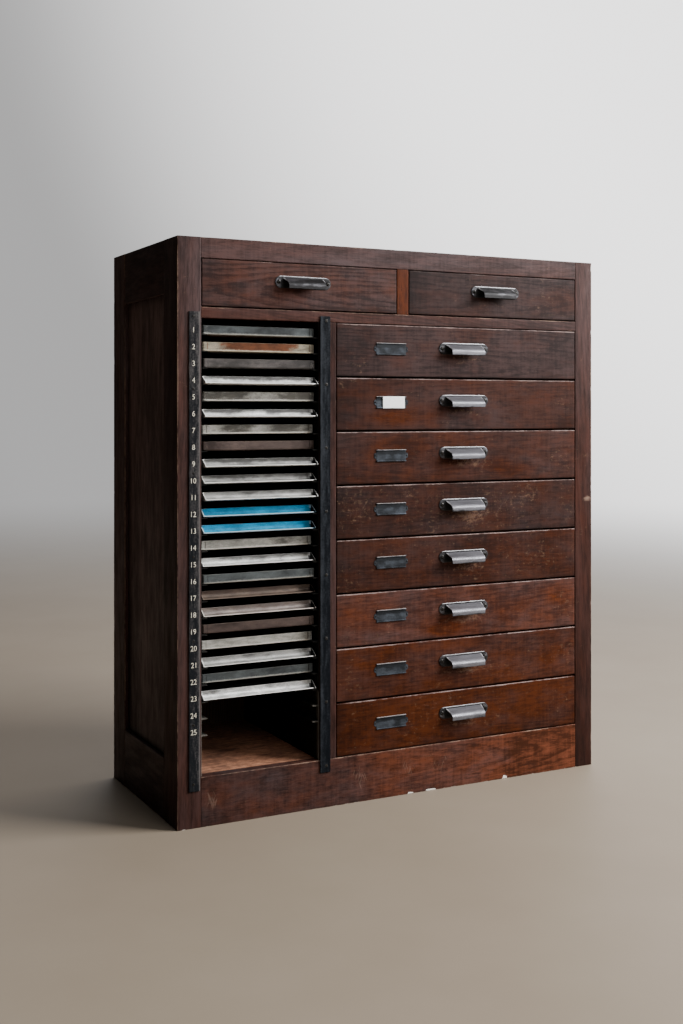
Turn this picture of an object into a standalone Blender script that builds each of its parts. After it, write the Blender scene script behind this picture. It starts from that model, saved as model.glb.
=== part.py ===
"""A printer's cabinet in stained hardwood.

A framed carcass holds two drawers side by side under the top, a bay of numbered
ledges for metal galley trays on the left, and a stack of drawers on the right.
Run it with: blender --background --python part.py

Units are metres, +Z is up, and the front faces -Y. The origin is on the floor, in
the middle of the cabinet's box, pulls included.
"""

import math

import bmesh
import bpy
from mathutils import Matrix, Vector

# Clearances
FIT = 0.0003                    # between touching pieces, and of a tenon in its mortise
REVEAL = 0.0015                 # round a drawer front in its opening
SIDE_PLAY = 0.002               # between a drawer's side and its guide

# Front frame, as seen from the front
LEFT_STILE = 0.048
RIGHT_STILE = 0.0455
MULLION = 0.0362                # between the galley bay and the drawer stack
MUNTIN = 0.027                  # between the two top drawers
TOP_RAIL = 0.039
MIDDLE_RAIL = 0.021
BOTTOM_RAIL = 0.095
RAIL_THICKNESS = 0.022          # rails, mullion and muntin, front to back

# Sides, top, floor and back
DEPTH = 0.395
POST_DEPTH = 0.076
SIDE_RAIL_THICKNESS = 0.022
SIDE_TOP_RAIL = 0.105
SIDE_BOTTOM_RAIL = 0.119
PANEL_THICKNESS = 0.009
PANEL_RECESS = 0.008
PANEL_TONGUE = 0.008
TOP_THICKNESS = 0.018
FLOOR_THICKNESS = 0.018
BOARD_HOUSING = 0.006           # how far the top and floor enter the side rails
DUST_BOARD_THICKNESS = 0.012
PARTITION_THICKNESS = 0.020
BACK_THICKNESS = 0.012
BACK_ABOVE_FLOOR = 0.020
BACK_BOARDS = 8
BACK_GROOVE = 0.003             # the V between two back boards

# Joinery
TENON_LENGTH = 0.020
STUB_TENON_LENGTH = 0.008
TENON_THICKNESS = 0.009
TENON_SHOULDER = 0.005

# Galley bay
SLOTS = 25
SLOT_PITCH = 0.0317
FIRST_LEDGE_DROP = 0.0308       # from the bay's top to the first ledge
SPACE_UNDER_LEDGES = 0.0774     # from the floor to the last ledge
LEDGE_WIDTH = 0.014
RACK_SHEET = 0.0015
RACK_SET_BACK = 0.003           # behind the cabinet's face
RACK_END_ROOM = 0.006           # in front of the back
STRIP_WIDTH = 0.0222
STRIP_THICKNESS = 0.0025
STRIP_SET_OFF = 0.0033          # of the number strip from the bay's edge
STRIP_ABOVE_BAY = 0.0115
STRIP_BELOW_BAY = 0.025

# Galley trays
TRAY_WIDTH = 0.237
TRAY_HEIGHT = 0.0175
LIPPED_TRAY_HEIGHT = 0.0158
TRAY_SHEET = 0.0016
TRAY_LIP = 0.018                # floor that runs on in front of a lipped tray's wall
TRAY_LIP_RISE = 0.0022          # of the lip's edge above the tray's floor
TRAY_COVE = 0.008               # radius between the lip and the wall behind it
TRAY_COVE_STEPS = 4
TRAY_SIDE_ROOM = 0.00675
TRAY_END_ROOM = 0.006
LIPPED_SLOTS = (4, 6, 9, 10, 11, 12, 13, 15, 17, 18, 21, 23)
BLUE_SLOTS = (12, 13)
BROWN_SLOTS = (2, 3, 8, 16, 17, 19)
# How far each tray's front wall stands behind the cabinet's face, slot by slot
WALL_SET_BACK = tuple(
    mm / 1000
    for mm in (12, 12, 8, 12, 12, 14, 17, 12, 12, 20, 12, 22, 22, 23, 25, 10, 27, 22, 12, 20, 22, 17, 22)
)

# Drawers
DRAWER_BAY = 0.5943
DRAWERS = 8
TOP_DRAWER_OPENING = 0.093
FRONT_THICKNESS = 0.020
FRONT_CHAMFER = 0.0015
SIDE_THICKNESS = 0.012
BOTTOM_THICKNESS = 0.006
BOTTOM_RAISE = 0.006            # of the drawer bottom above its sides' lower edges
DRAWER_HEAD_ROOM = 0.012        # above a drawer's sides
DRAWER_END_ROOM = 0.010         # behind a drawer
FRONT_LAP = 0.006               # of the sides into the front
BEARER_THICKNESS = 0.008
BEARER_REACH = 0.012            # of a bearer under a drawer's side
BEARER_HOUSING = 0.003          # of a bearer into what carries it
GUIDE_HEIGHT = 0.012            # of the fillet that steers a drawer, above its bearer
TOP_GUIDE_HEIGHT = 0.030

# Pulls and label holders
PULL_LENGTH = 0.121
PULL_PLATE_HEIGHT = 0.024
PULL_SHEET = 0.0016
PULL_REACH = 0.022              # of the hood in front of the drawer
HOOD_LENGTH = 0.088
HOOD_TOP = 0.003                # below the plate's top
HOOD_FOOT = 0.025               # the lip, below the plate's top
HOOD_TAPER = 0.0037             # at each end, from plate to lip
HOOD_SLANT = 0.30               # share of the fall in the slanted top, before the bend
HOOD_CREASE = 0.48              # share of the fall at the corner that the bend rounds off
HOOD_SKIRT = 0.72               # share of the fall where the plumb skirt starts
HOOD_SLANT_REACH = 0.62         # share of the reach where the bend starts
HOOD_STEPS = 6
PLATE_END_STEPS = 8
PULL_ABOVE_MIDDLE = 0.008       # plate's middle above the drawer front's middle
STACK_PULL_SHIFT = 0.004        # to the right of the drawer front's middle
LABEL_WIDTH = 0.069
LABEL_HEIGHT = 0.0245
LABEL_THICKNESS = 0.003
LABEL_LIP = 0.0024              # along the top and the bottom
LABEL_FLOOR = 0.001
LABEL_EAR = 0.005               # at each end
LABEL_EAR_HEIGHT = 0.012
LABEL_FROM_LEFT = 0.090         # from the drawer front's left end
LABEL_ABOVE_MIDDLE = 0.0042

# Worked out from the sizes above
GALLEY_BAY = TRAY_WIDTH + 2 * TRAY_SIDE_ROOM
WIDTH = LEFT_STILE + GALLEY_BAY + MULLION + DRAWER_BAY + RIGHT_STILE
BAY_HEIGHT = FIRST_LEDGE_DROP + (SLOTS - 1) * SLOT_PITCH + SPACE_UNDER_LEDGES
BAY_BOTTOM = BOTTOM_RAIL
BAY_TOP = BAY_BOTTOM + BAY_HEIGHT
TOP_DRAWER_BOTTOM = BAY_TOP + MIDDLE_RAIL
TOP_DRAWER_TOP = TOP_DRAWER_BOTTOM + TOP_DRAWER_OPENING
HEIGHT = TOP_DRAWER_TOP + TOP_RAIL
LEFT = -WIDTH / 2
RIGHT = WIDTH / 2
FRONT = (PULL_REACH + FIT - DEPTH) / 2
BACK = FRONT + DEPTH
BEHIND_RAILS = FRONT + RAIL_THICKNESS
BEFORE_BACK = BACK - BACK_THICKNESS - FIT
BAY_LEFT = LEFT + LEFT_STILE
BAY_RIGHT = BAY_LEFT + GALLEY_BAY
STACK_LEFT = BAY_RIGHT + MULLION
STACK_RIGHT = STACK_LEFT + DRAWER_BAY
TOP_DRAWER_WIDTH = (STACK_RIGHT - BAY_LEFT - MUNTIN) / 2
MUNTIN_LEFT = BAY_LEFT + TOP_DRAWER_WIDTH
DRAWER_PITCH = BAY_HEIGHT / DRAWERS
DRAWER_LENGTH = DEPTH - BACK_THICKNESS - DRAWER_END_ROOM
BEARER_LIFT = 2 * FIT           # of a bearer above the gap between two drawers
BEARER_FRONT = FRONT + max(RAIL_THICKNESS, FRONT_THICKNESS) + FIT
TRAY_LENGTH = DEPTH - BACK_THICKNESS - TRAY_END_ROOM - max(WALL_SET_BACK)


def clear_scene():
    """Remove what the scene holds at the start."""
    for obj in list(bpy.data.objects):
        bpy.data.objects.remove(obj, do_unlink=True)


def make_material(name, colour, roughness, metallic):
    """A plain Principled finish."""
    material = bpy.data.materials.new(name)
    material.use_nodes = True
    shader = material.node_tree.nodes["Principled BSDF"]
    shader.inputs["Base Color"].default_value = (*colour, 1.0)
    shader.inputs["Roughness"].default_value = roughness
    shader.inputs["Metallic"].default_value = metallic
    return material


def block(low, high):
    """A box from its lowest to its highest corner."""
    low, high = Vector(low), Vector(high)
    shape = bmesh.new()
    size = Matrix.Diagonal((*(high - low), 1.0))
    bmesh.ops.create_cube(shape, size=1.0, matrix=Matrix.Translation((low + high) / 2) @ size)
    return shape


def prism(outline, axis, start, end):
    """An outline in the plane across an axis (0 is X, 1 is Y, 2 is Z), extruded from start to end."""
    shape = bmesh.new()
    corners = []
    for first, second in outline:
        point = [first, second]
        point.insert(axis, start)
        corners.append(shape.verts.new(point))
    face = shape.faces.new(corners)
    swept = bmesh.ops.extrude_face_region(shape, geom=[face])
    moved = [item for item in swept["geom"] if isinstance(item, bmesh.types.BMVert)]
    step = Vector((0, 0, 0))
    step[axis] = end - start
    bmesh.ops.translate(shape, verts=moved, vec=step)
    bmesh.ops.recalc_face_normals(shape, faces=shape.faces)
    return shape


def grown(box, by):
    """A box given as (low, high), grown on every side."""
    return tuple(v - by for v in box[0]), tuple(v + by for v in box[1])


def helper_object(name, shape):
    mesh = bpy.data.meshes.new(name)
    shape.to_mesh(mesh)
    shape.free()
    obj = bpy.data.objects.new(name, mesh)
    bpy.context.scene.collection.objects.link(obj)
    return obj


def joined(name, base, add=(), cut=()):
    """One mesh: the base shape with shapes joined on and then cut away by exact Booleans."""
    body = helper_object(name, base)
    helpers = []
    for operation, shapes in (("UNION", add), ("DIFFERENCE", cut)):
        for shape in shapes:
            helper = helper_object(name, shape)
            modifier = body.modifiers.new(operation, "BOOLEAN")
            modifier.operation = operation
            modifier.object = helper
            helpers.append(helper)
    graph = bpy.context.evaluated_depsgraph_get()
    mesh = bpy.data.meshes.new_from_object(body.evaluated_get(graph))
    mesh.name = name
    for obj in (body, *helpers):
        bpy.data.objects.remove(obj, do_unlink=True)
    return mesh


def empty(name, place, parent=None):
    """A frame to hang pieces on."""
    obj = bpy.data.objects.new(name, None)
    obj.location = place
    obj.parent = parent
    bpy.context.scene.collection.objects.link(obj)
    return obj


def piece(name, mesh, material, parent, place=(0, 0, 0)):
    """One named piece of the cabinet."""
    if not mesh.materials:
        mesh.materials.append(material)
    obj = bpy.data.objects.new(name, mesh)
    obj.location = place
    obj.parent = parent
    bpy.context.scene.collection.objects.link(obj)
    obj.material_slots[0].link = "OBJECT"
    obj.material_slots[0].material = material
    return obj


def rail_tenon_y():
    """Front and back of a tenon in the middle of a rail's thickness."""
    middle = FRONT + RAIL_THICKNESS / 2
    return middle - TENON_THICKNESS / 2, middle + TENON_THICKNESS / 2


def rail_tenons(bottom, top):
    """The left and right tenon boxes of a front rail between the two posts."""
    y0, y1 = rail_tenon_y()
    z0, z1 = bottom + TENON_SHOULDER, top - TENON_SHOULDER
    left = (BAY_LEFT - TENON_LENGTH, y0, z0), (BAY_LEFT + TENON_LENGTH, y1, z1)
    right = (STACK_RIGHT - TENON_LENGTH, y0, z0), (STACK_RIGHT + TENON_LENGTH, y1, z1)
    return left, right


def upright_tenons(left, right, bottom, top):
    """The lower and upper stub tenon boxes of an upright between two rails."""
    y0, y1 = rail_tenon_y()
    x0, x1 = left + TENON_SHOULDER, right - TENON_SHOULDER
    lower = (x0, y0, bottom - STUB_TENON_LENGTH), (x1, y1, bottom + STUB_TENON_LENGTH)
    upper = (x0, y0, top - STUB_TENON_LENGTH), (x1, y1, top + STUB_TENON_LENGTH)
    return lower, upper


FRONT_RAIL_SPANS = (
    (0.0, BAY_BOTTOM),
    (BAY_TOP, TOP_DRAWER_BOTTOM),
    (TOP_DRAWER_TOP, HEIGHT),
)
MULLION_TENONS = upright_tenons(BAY_RIGHT, STACK_LEFT, BAY_BOTTOM, BAY_TOP)
MUNTIN_TENONS = upright_tenons(
    MUNTIN_LEFT, MUNTIN_LEFT + MUNTIN, TOP_DRAWER_BOTTOM, TOP_DRAWER_TOP
)


def front_rail(name, bottom, top, mortises=(), add=()):
    """A rail between the posts, tenoned at both ends and mortised for the uprights."""
    base = block((BAY_LEFT + FIT, FRONT, bottom), (STACK_RIGHT - FIT, BEHIND_RAILS, top))
    tenons = [block(*box) for box in rail_tenons(bottom, top)]
    cuts = [block(*grown(box, FIT)) for box in mortises]
    return joined(name, base, [*tenons, *add], cuts)


def upright(name, left, right, bottom, top, tenons, add=()):
    """A stile between two rails, with a stub tenon at each end."""
    base = block((left, FRONT, bottom + FIT), (right, BEHIND_RAILS, top - FIT))
    return joined(name, base, [*(block(*box) for box in tenons), *add])


def side_x(outer, inward, depth):
    """A distance from a side's outer face, inward being +1 on the left and -1 on the right."""
    return outer + inward * depth


def side_box(outer, inward, depths, y_span, z_span):
    """A box in a side frame, given by its depths from the outer face."""
    xs = sorted(side_x(outer, inward, depth) for depth in depths)
    return (xs[0], y_span[0], z_span[0]), (xs[1], y_span[1], z_span[1])


def panel_box(outer, inward):
    """The side panel, tongues included."""
    return side_box(
        outer,
        inward,
        (PANEL_RECESS, PANEL_RECESS + PANEL_THICKNESS),
        (FRONT + POST_DEPTH - PANEL_TONGUE, BACK - POST_DEPTH + PANEL_TONGUE),
        (SIDE_BOTTOM_RAIL - PANEL_TONGUE, HEIGHT - SIDE_TOP_RAIL + PANEL_TONGUE),
    )


def stack_levels():
    """The bottom of each drawer's share of the stack, from the lowest up."""
    return [BAY_BOTTOM + row * DRAWER_PITCH for row in range(DRAWERS)]


def bearer_top(level):
    return level + BEARER_LIFT + BEARER_THICKNESS


def right_bearers():
    """Ledges on the right-hand posts that carry the drawers' right sides."""
    return [
        block(
            (STACK_RIGHT - SIDE_PLAY - BEARER_REACH, BEARER_FRONT, level + BEARER_LIFT),
            (STACK_RIGHT + BEARER_HOUSING, BEFORE_BACK - FIT, bearer_top(level)),
        )
        for level in stack_levels()
    ]


def left_bearers():
    """Ledges on the partition, each with a fillet that steers the drawer above it."""
    root = BAY_RIGHT + PARTITION_THICKNESS - BEARER_HOUSING
    guide = STACK_LEFT
    tip = STACK_LEFT + SIDE_PLAY + BEARER_REACH
    bearers = []
    for level in stack_levels():
        low, high = level + BEARER_LIFT, bearer_top(level)
        outline = (
            (root, low),
            (tip, low),
            (tip, high),
            (guide, high),
            (guide, high + GUIDE_HEIGHT),
            (root, high + GUIDE_HEIGHT),
        )
        bearers.append(prism(outline, 1, BEARER_FRONT, BEFORE_BACK - FIT))
    return bearers


def side_frame(name, outer, inward, post_width, bearers=()):
    """Two posts and two rails, grooved for the panel, housed for floor and top, mortised for the rails."""
    posts = [
        block(*side_box(outer, inward, (0, post_width), span, (0, HEIGHT)))
        for span in ((FRONT, FRONT + POST_DEPTH), (BACK - POST_DEPTH, BACK))
    ]
    rail_span = FRONT + POST_DEPTH - TENON_LENGTH, BACK - POST_DEPTH + TENON_LENGTH
    rails = [
        block(*side_box(outer, inward, (0, SIDE_RAIL_THICKNESS), rail_span, span))
        for span in ((0, SIDE_BOTTOM_RAIL), (HEIGHT - SIDE_TOP_RAIL, HEIGHT))
    ]
    housing_depths = SIDE_RAIL_THICKNESS - BOARD_HOUSING - FIT, SIDE_RAIL_THICKNESS + FIT
    housing_span = FRONT + POST_DEPTH + FIT, BACK - POST_DEPTH - FIT
    floor_span = BAY_BOTTOM - FLOOR_THICKNESS - FIT, BAY_BOTTOM + FIT
    top_span = HEIGHT - TOP_THICKNESS - FIT, HEIGHT + FIT
    cuts = [block(*grown(panel_box(outer, inward), FIT))]
    cuts += [
        block(*side_box(outer, inward, housing_depths, housing_span, span))
        for span in (floor_span, top_span)
    ]
    side = 0 if inward > 0 else 1
    cuts += [block(*grown(rail_tenons(*span)[side], FIT)) for span in FRONT_RAIL_SPANS]
    return joined(name, posts[0], [posts[1], *rails, *bearers], cuts)


def notched_board(name, back_edge, bottom, top):
    """A board let into both side rails and notched round the four posts."""
    front_edge = BEHIND_RAILS + FIT
    front_notch = FRONT + POST_DEPTH + 2 * FIT
    back_notch = BACK - POST_DEPTH - 2 * FIT
    wide = SIDE_RAIL_THICKNESS - BOARD_HOUSING
    left, right = BAY_LEFT + FIT, STACK_RIGHT - FIT
    outline = (
        (left, front_edge),
        (right, front_edge),
        (right, front_notch),
        (RIGHT - wide, front_notch),
        (RIGHT - wide, back_notch),
        (right, back_notch),
        (right, back_edge),
        (left, back_edge),
        (left, back_notch),
        (LEFT + wide, back_notch),
        (LEFT + wide, front_notch),
        (left, front_notch),
    )
    return joined(name, prism(outline, 2, bottom, top))


def dust_frame():
    """The middle rail, with the board that carries the two top drawers."""
    board = block(
        (BAY_LEFT + FIT, BEHIND_RAILS - RAIL_THICKNESS / 4, TOP_DRAWER_BOTTOM - DUST_BOARD_THICKNESS),
        (STACK_RIGHT - FIT, BEFORE_BACK, TOP_DRAWER_BOTTOM),
    )
    mortises = (MULLION_TENONS[1], MUNTIN_TENONS[0])
    return front_rail("dust_frame", BAY_TOP, TOP_DRAWER_BOTTOM, mortises, [board])


def muntin():
    """The upright between the top drawers, with the guide that runs back from it."""
    guide = block(
        (MUNTIN_LEFT, BEHIND_RAILS - RAIL_THICKNESS / 4, TOP_DRAWER_BOTTOM + FIT),
        (MUNTIN_LEFT + MUNTIN, BEFORE_BACK, TOP_DRAWER_BOTTOM + TOP_GUIDE_HEIGHT),
    )
    right = MUNTIN_LEFT + MUNTIN
    span = TOP_DRAWER_BOTTOM, TOP_DRAWER_TOP
    return upright("muntin", MUNTIN_LEFT, right, *span, MUNTIN_TENONS, [guide])


def partition():
    """The board between the two bays, with the left-hand bearers let into it."""
    base = block(
        (BAY_RIGHT, BEHIND_RAILS + FIT, BAY_BOTTOM + FIT),
        (
            BAY_RIGHT + PARTITION_THICKNESS,
            BEFORE_BACK,
            TOP_DRAWER_BOTTOM - DUST_BOARD_THICKNESS - FIT,
        ),
    )
    return joined("partition", base, left_bearers())


def back_panel():
    """Boards between the back posts, with a V groove at each meeting."""
    left, right = BAY_LEFT + FIT, STACK_RIGHT - FIT
    bottom, top = BACK_ABOVE_FLOOR, HEIGHT - TOP_THICKNESS - FIT
    board = (right - left) / BACK_BOARDS
    outline = [(left, BACK - BACK_THICKNESS), (right, BACK - BACK_THICKNESS), (right, BACK)]
    for number in range(BACK_BOARDS - 1, 0, -1):
        middle = left + number * board
        outline += [
            (middle + BACK_GROOVE, BACK),
            (middle, BACK - BACK_GROOVE),
            (middle - BACK_GROOVE, BACK),
        ]
    outline.append((left, BACK))
    return joined("back_panel", prism(outline, 2, bottom, top))


def strip(name, left):
    """A flat steel strip screwed to the face beside the galley bay."""
    base = block(
        (left, FRONT - FIT - STRIP_THICKNESS, BAY_BOTTOM - STRIP_BELOW_BAY),
        (left + STRIP_WIDTH, FRONT - FIT, BAY_TOP + STRIP_ABOVE_BAY),
    )
    return joined(name, base)


def ledge_top(slot):
    """Height of the ledge that carries the tray in a slot, counted from 1 at the top."""
    return BAY_TOP - FIRST_LEDGE_DROP - (slot - 1) * SLOT_PITCH


def galley_rack(name, wall, inward):
    """A sheet steel side plate with one ledge folded out for each slot, drawn as a comb and extruded."""
    face = wall + inward * FIT
    inner = face + inward * RACK_SHEET
    tip = wall + inward * LEDGE_WIDTH
    outline = [(face, BAY_TOP - FIT), (inner, BAY_TOP - FIT)]
    for slot in range(1, SLOTS + 1):
        top = ledge_top(slot)
        bottom = top - RACK_SHEET
        outline += [(inner, top), (tip, top), (tip, bottom), (inner, bottom)]
    outline += [(inner, BAY_BOTTOM + FIT), (face, BAY_BOTTOM + FIT)]
    return joined(name, prism(outline, 1, FRONT + RACK_SET_BACK, BEFORE_BACK - RACK_END_ROOM))


def tray_mesh(lipped):
    """A shallow tray folded from sheet, its front wall at y = 0.

    A lipped tray's floor runs on in front of the wall, rising a little, between two sloping wings.
    """
    half = TRAY_WIDTH / 2
    inside = half - TRAY_SHEET
    height = LIPPED_TRAY_HEIGHT if lipped else TRAY_HEIGHT
    over = height + TRAY_SHEET
    cuts = [
        block((-inside, TRAY_SHEET, TRAY_SHEET), (inside, TRAY_LENGTH - TRAY_SHEET, over)),
    ]
    outline = [(0, 0), (0, height), (TRAY_LENGTH, height), (TRAY_LENGTH, 0)]
    if lipped:
        outline[1:1] = [(-TRAY_LIP, TRAY_LIP_RISE), (-TRAY_LIP, TRAY_LIP_RISE + TRAY_SHEET)]
        cuts.append(prism(scoop_outline(over), 0, -inside, inside))
    return joined("tray", prism(outline, 0, -half, half), (), cuts)


def scoop_outline(over):
    """What is open above a lip: in from its edge, round the cove and up the wall."""
    edge = TRAY_LIP_RISE + TRAY_SHEET
    outline = [(0, over), (-2 * TRAY_LIP, over), (-2 * TRAY_LIP, edge), (-TRAY_LIP, edge)]
    for step in range(TRAY_COVE_STEPS + 1):
        angle = math.pi / 2 * (step / TRAY_COVE_STEPS - 1)
        outline.append((TRAY_COVE * (math.cos(angle) - 1), TRAY_SHEET + TRAY_COVE * (math.sin(angle) + 1)))
    return outline


def drawer_mesh(name, width, height, lift, labelled):
    """A drawer with its front at y = 0 and its opening's lower left corner at the origin.

    The front fills the opening but for the reveal. The box behind it stands on its sides' lower edges,
    at the height lift.
    """
    front = block((REVEAL, 0, REVEAL), (width - REVEAL, FRONT_THICKNESS, height - REVEAL))
    face_edges = [
        edge for edge in front.edges if all(abs(vert.co.y) < FRONT_CHAMFER for vert in edge.verts)
    ]
    bmesh.ops.bevel(front, geom=face_edges, offset=FRONT_CHAMFER, segments=1, affect="EDGES")
    left, right = SIDE_PLAY, width - SIDE_PLAY
    start = FRONT_THICKNESS - FRONT_LAP
    rim = height - DRAWER_HEAD_ROOM
    floor = lift + BOTTOM_RAISE
    box = block((left, start, lift), (right, DRAWER_LENGTH, rim))
    inner = left + SIDE_THICKNESS, right - SIDE_THICKNESS
    inner_end = DRAWER_LENGTH - SIDE_THICKNESS
    over = rim + SIDE_THICKNESS
    cavity = block(
        (inner[0], FRONT_THICKNESS, floor + BOTTOM_THICKNESS), (inner[1], inner_end, over)
    )
    under = block(
        (inner[0], FRONT_THICKNESS, lift - SIDE_THICKNESS), (inner[1], DRAWER_LENGTH + FIT, floor)
    )
    added = [front]
    cuts = [cavity, under]
    if labelled:
        half = LABEL_HEIGHT / 2
        inside = FRONT_THICKNESS / 2
        added.append(label_box(height, 0, half, -LABEL_THICKNESS, inside))
        added.append(label_box(height, LABEL_EAR, LABEL_EAR_HEIGHT / 2, -LABEL_FLOOR, inside))
        cuts.append(label_box(height, 2 * LABEL_EAR, half - LABEL_LIP, -2 * LABEL_THICKNESS, -LABEL_FLOOR))
    return joined(name, box, added, cuts)


def label_box(height, longer, half, front, back):
    """A block of a label holder about its middle, longer than the holder at both ends."""
    middle = height / 2 + LABEL_ABOVE_MIDDLE
    left = LABEL_FROM_LEFT + REVEAL
    return block((left - longer, front, middle - half), (left + LABEL_WIDTH + longer, back, middle + half))


def pull_mesh():
    """A pressed steel pull: a round-ended plate, and a hood over it that is open below and at its ends."""
    radius = PULL_PLATE_HEIGHT / 2
    straight = PULL_LENGTH / 2 - radius
    outline = []
    for end, start in ((straight, -math.pi / 2), (-straight, math.pi / 2)):
        for step in range(PLATE_END_STEPS + 1):
            angle = start + math.pi * step / PLATE_END_STEPS
            outline.append((end + radius * math.cos(angle), radius * math.sin(angle)))
    plate = prism(outline, 1, -PULL_SHEET, 0)
    mesh = joined("pull", plate, [hood(radius)])
    mesh.shade_smooth()
    mesh.set_sharp_from_angle(angle=math.radians(35))
    return mesh


def hood_curve(reach, fall):
    """A hood's side view as (out, down): a slanted top, a bend that rounds off its corner, a plumb skirt."""
    slant = HOOD_SLANT_REACH * reach, HOOD_SLANT * fall
    corner = reach, HOOD_CREASE * fall
    skirt = reach, HOOD_SKIRT * fall
    points = [(0, 0)]
    for step in range(HOOD_STEPS + 1):
        t = step / HOOD_STEPS
        parts = zip(slant, corner, skirt)
        points.append(tuple((1 - t) ** 2 * a + 2 * t * (1 - t) * b + t**2 * c for a, b, c in parts))
    points.append((reach, fall))
    return points


def hood(plate_top):
    """A bent sheet that stands out from the plate, narrower towards its lip."""
    fall = HOOD_FOOT - HOOD_TOP
    outer = hood_curve(PULL_REACH, fall)
    inside = hood_curve(PULL_REACH - PULL_SHEET, fall)
    inner = [(out, down + PULL_SHEET * (1 - down / fall)) for out, down in inside]
    section = [(-out, plate_top - HOOD_TOP - down) for out, down in [*outer, *reversed(inner)]]
    shape = bmesh.new()
    rings = []
    for side in (-1, 1):
        ring = []
        for y, z in section:
            half = HOOD_LENGTH / 2 + HOOD_TAPER * y / PULL_REACH
            ring.append(shape.verts.new((side * half, y, z)))
        rings.append(ring)
        shape.faces.new(ring)
    count = len(section)
    for i in range(count):
        j = (i + 1) % count
        shape.faces.new((rings[0][i], rings[0][j], rings[1][j], rings[1][i]))
    bmesh.ops.recalc_face_normals(shape, faces=shape.faces)
    return shape


def build_carcass(wood, inner_wood, black_steel):
    """Everything that stays put."""
    root = empty("cabinet", (0, 0, 0))
    sides = (
        ("left", LEFT, 1, LEFT_STILE, ()),
        ("right", RIGHT, -1, RIGHT_STILE, right_bearers()),
    )
    for side, outer, inward, post_width, bearers in sides:
        frame = side_frame("side_frame", outer, inward, post_width, bearers)
        piece(f"side_frame_{side}", frame, wood, root)
        panel = joined("side_panel", block(*panel_box(outer, inward)))
        piece(f"side_panel_{side}", panel, wood, root)
    top = notched_board("top_board", BACK, HEIGHT - TOP_THICKNESS, HEIGHT)
    piece("top_board", top, wood, root)
    floor = notched_board("floor_board", BEFORE_BACK, BAY_BOTTOM - FLOOR_THICKNESS, BAY_BOTTOM)
    piece("floor_board", floor, inner_wood, root)
    top_rail = front_rail("top_rail", TOP_DRAWER_TOP, HEIGHT, [MUNTIN_TENONS[1]])
    piece("top_rail", top_rail, wood, root)
    piece("dust_frame", dust_frame(), wood, root)
    bottom_rail = front_rail("bottom_rail", 0, BAY_BOTTOM, [MULLION_TENONS[0]])
    piece("bottom_rail", bottom_rail, wood, root)
    mullion = upright("mullion", BAY_RIGHT, STACK_LEFT, BAY_BOTTOM, BAY_TOP, MULLION_TENONS)
    piece("mullion", mullion, wood, root)
    piece("muntin", muntin(), wood, root)
    piece("partition", partition(), inner_wood, root)
    piece("back_panel", back_panel(), inner_wood, root)
    piece("number_strip", strip("number_strip", BAY_LEFT - STRIP_SET_OFF - STRIP_WIDTH), black_steel, root)
    piece("plain_strip", strip("plain_strip", BAY_RIGHT), black_steel, root)
    piece("galley_rack_left", galley_rack("rack", BAY_LEFT, 1), black_steel, root)
    piece("galley_rack_right", galley_rack("rack", BAY_RIGHT, -1), black_steel, root)
    return root


def build_trays(root, finishes):
    """One tray in each filled slot, on its own slide."""
    meshes = {lipped: tray_mesh(lipped) for lipped in (True, False)}
    middle = BAY_LEFT + GALLEY_BAY / 2
    for slot, set_back in enumerate(WALL_SET_BACK, start=1):
        finish = "blue" if slot in BLUE_SLOTS else "brown" if slot in BROWN_SLOTS else "zinc"
        place = (middle, FRONT + set_back, ledge_top(slot) + FIT)
        slide = empty(f"tray_{slot:02d}_slide", place, root)
        piece(f"tray_{slot:02d}", meshes[slot in LIPPED_SLOTS], finishes[finish], slide)


def build_drawers(root, wood, pull_steel):
    """The stack of drawers and the two under the top, each on its own slide with its pull."""
    stack_lift = BEARER_LIFT + BEARER_THICKNESS + FIT
    stack = drawer_mesh("drawer", DRAWER_BAY, DRAWER_PITCH, stack_lift, True)
    upper = drawer_mesh("top_drawer", TOP_DRAWER_WIDTH, TOP_DRAWER_OPENING, FIT, False)
    pull = pull_mesh()
    upper_right = MUNTIN_LEFT + MUNTIN
    upper_pull = TOP_DRAWER_WIDTH / 2
    stack_pull = DRAWER_BAY / 2 + STACK_PULL_SHIFT
    drawers = [
        ("top_left", upper, BAY_LEFT, TOP_DRAWER_BOTTOM, upper_pull, TOP_DRAWER_OPENING),
        ("top_right", upper, upper_right, TOP_DRAWER_BOTTOM, upper_pull, TOP_DRAWER_OPENING),
    ]
    for number, level in enumerate(reversed(stack_levels()), start=1):
        drawers.append((str(number), stack, STACK_LEFT, level, stack_pull, DRAWER_PITCH))
    for name, mesh, left, level, pull_x, height in drawers:
        slide = empty(f"drawer_{name}_slide", (left, FRONT, level), root)
        piece(f"drawer_{name}", mesh, wood, slide)
        place = (pull_x, -FIT, height / 2 + PULL_ABOVE_MIDDLE)
        piece(f"pull_{name}", pull, pull_steel, slide, place)


def main():
    clear_scene()
    wood = make_material("stained_oak", (0.075, 0.030, 0.022), 0.5, 0.0)
    inner_wood = make_material("bare_wood", (0.17, 0.085, 0.045), 0.7, 0.0)
    black_steel = make_material("black_steel", (0.035, 0.038, 0.042), 0.5, 0.6)
    pull_steel = make_material("pull_steel", (0.22, 0.21, 0.20), 0.4, 0.9)
    finishes = {
        "zinc": make_material("tray_zinc", (0.52, 0.52, 0.50), 0.4, 0.9),
        "brown": make_material("tray_brown", (0.16, 0.10, 0.075), 0.6, 0.4),
        "blue": make_material("tray_blue", (0.02, 0.22, 0.42), 0.5, 0.0),
    }
    root = build_carcass(wood, inner_wood, black_steel)
    build_trays(root, finishes)
    build_drawers(root, wood, pull_steel)


main()
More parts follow.
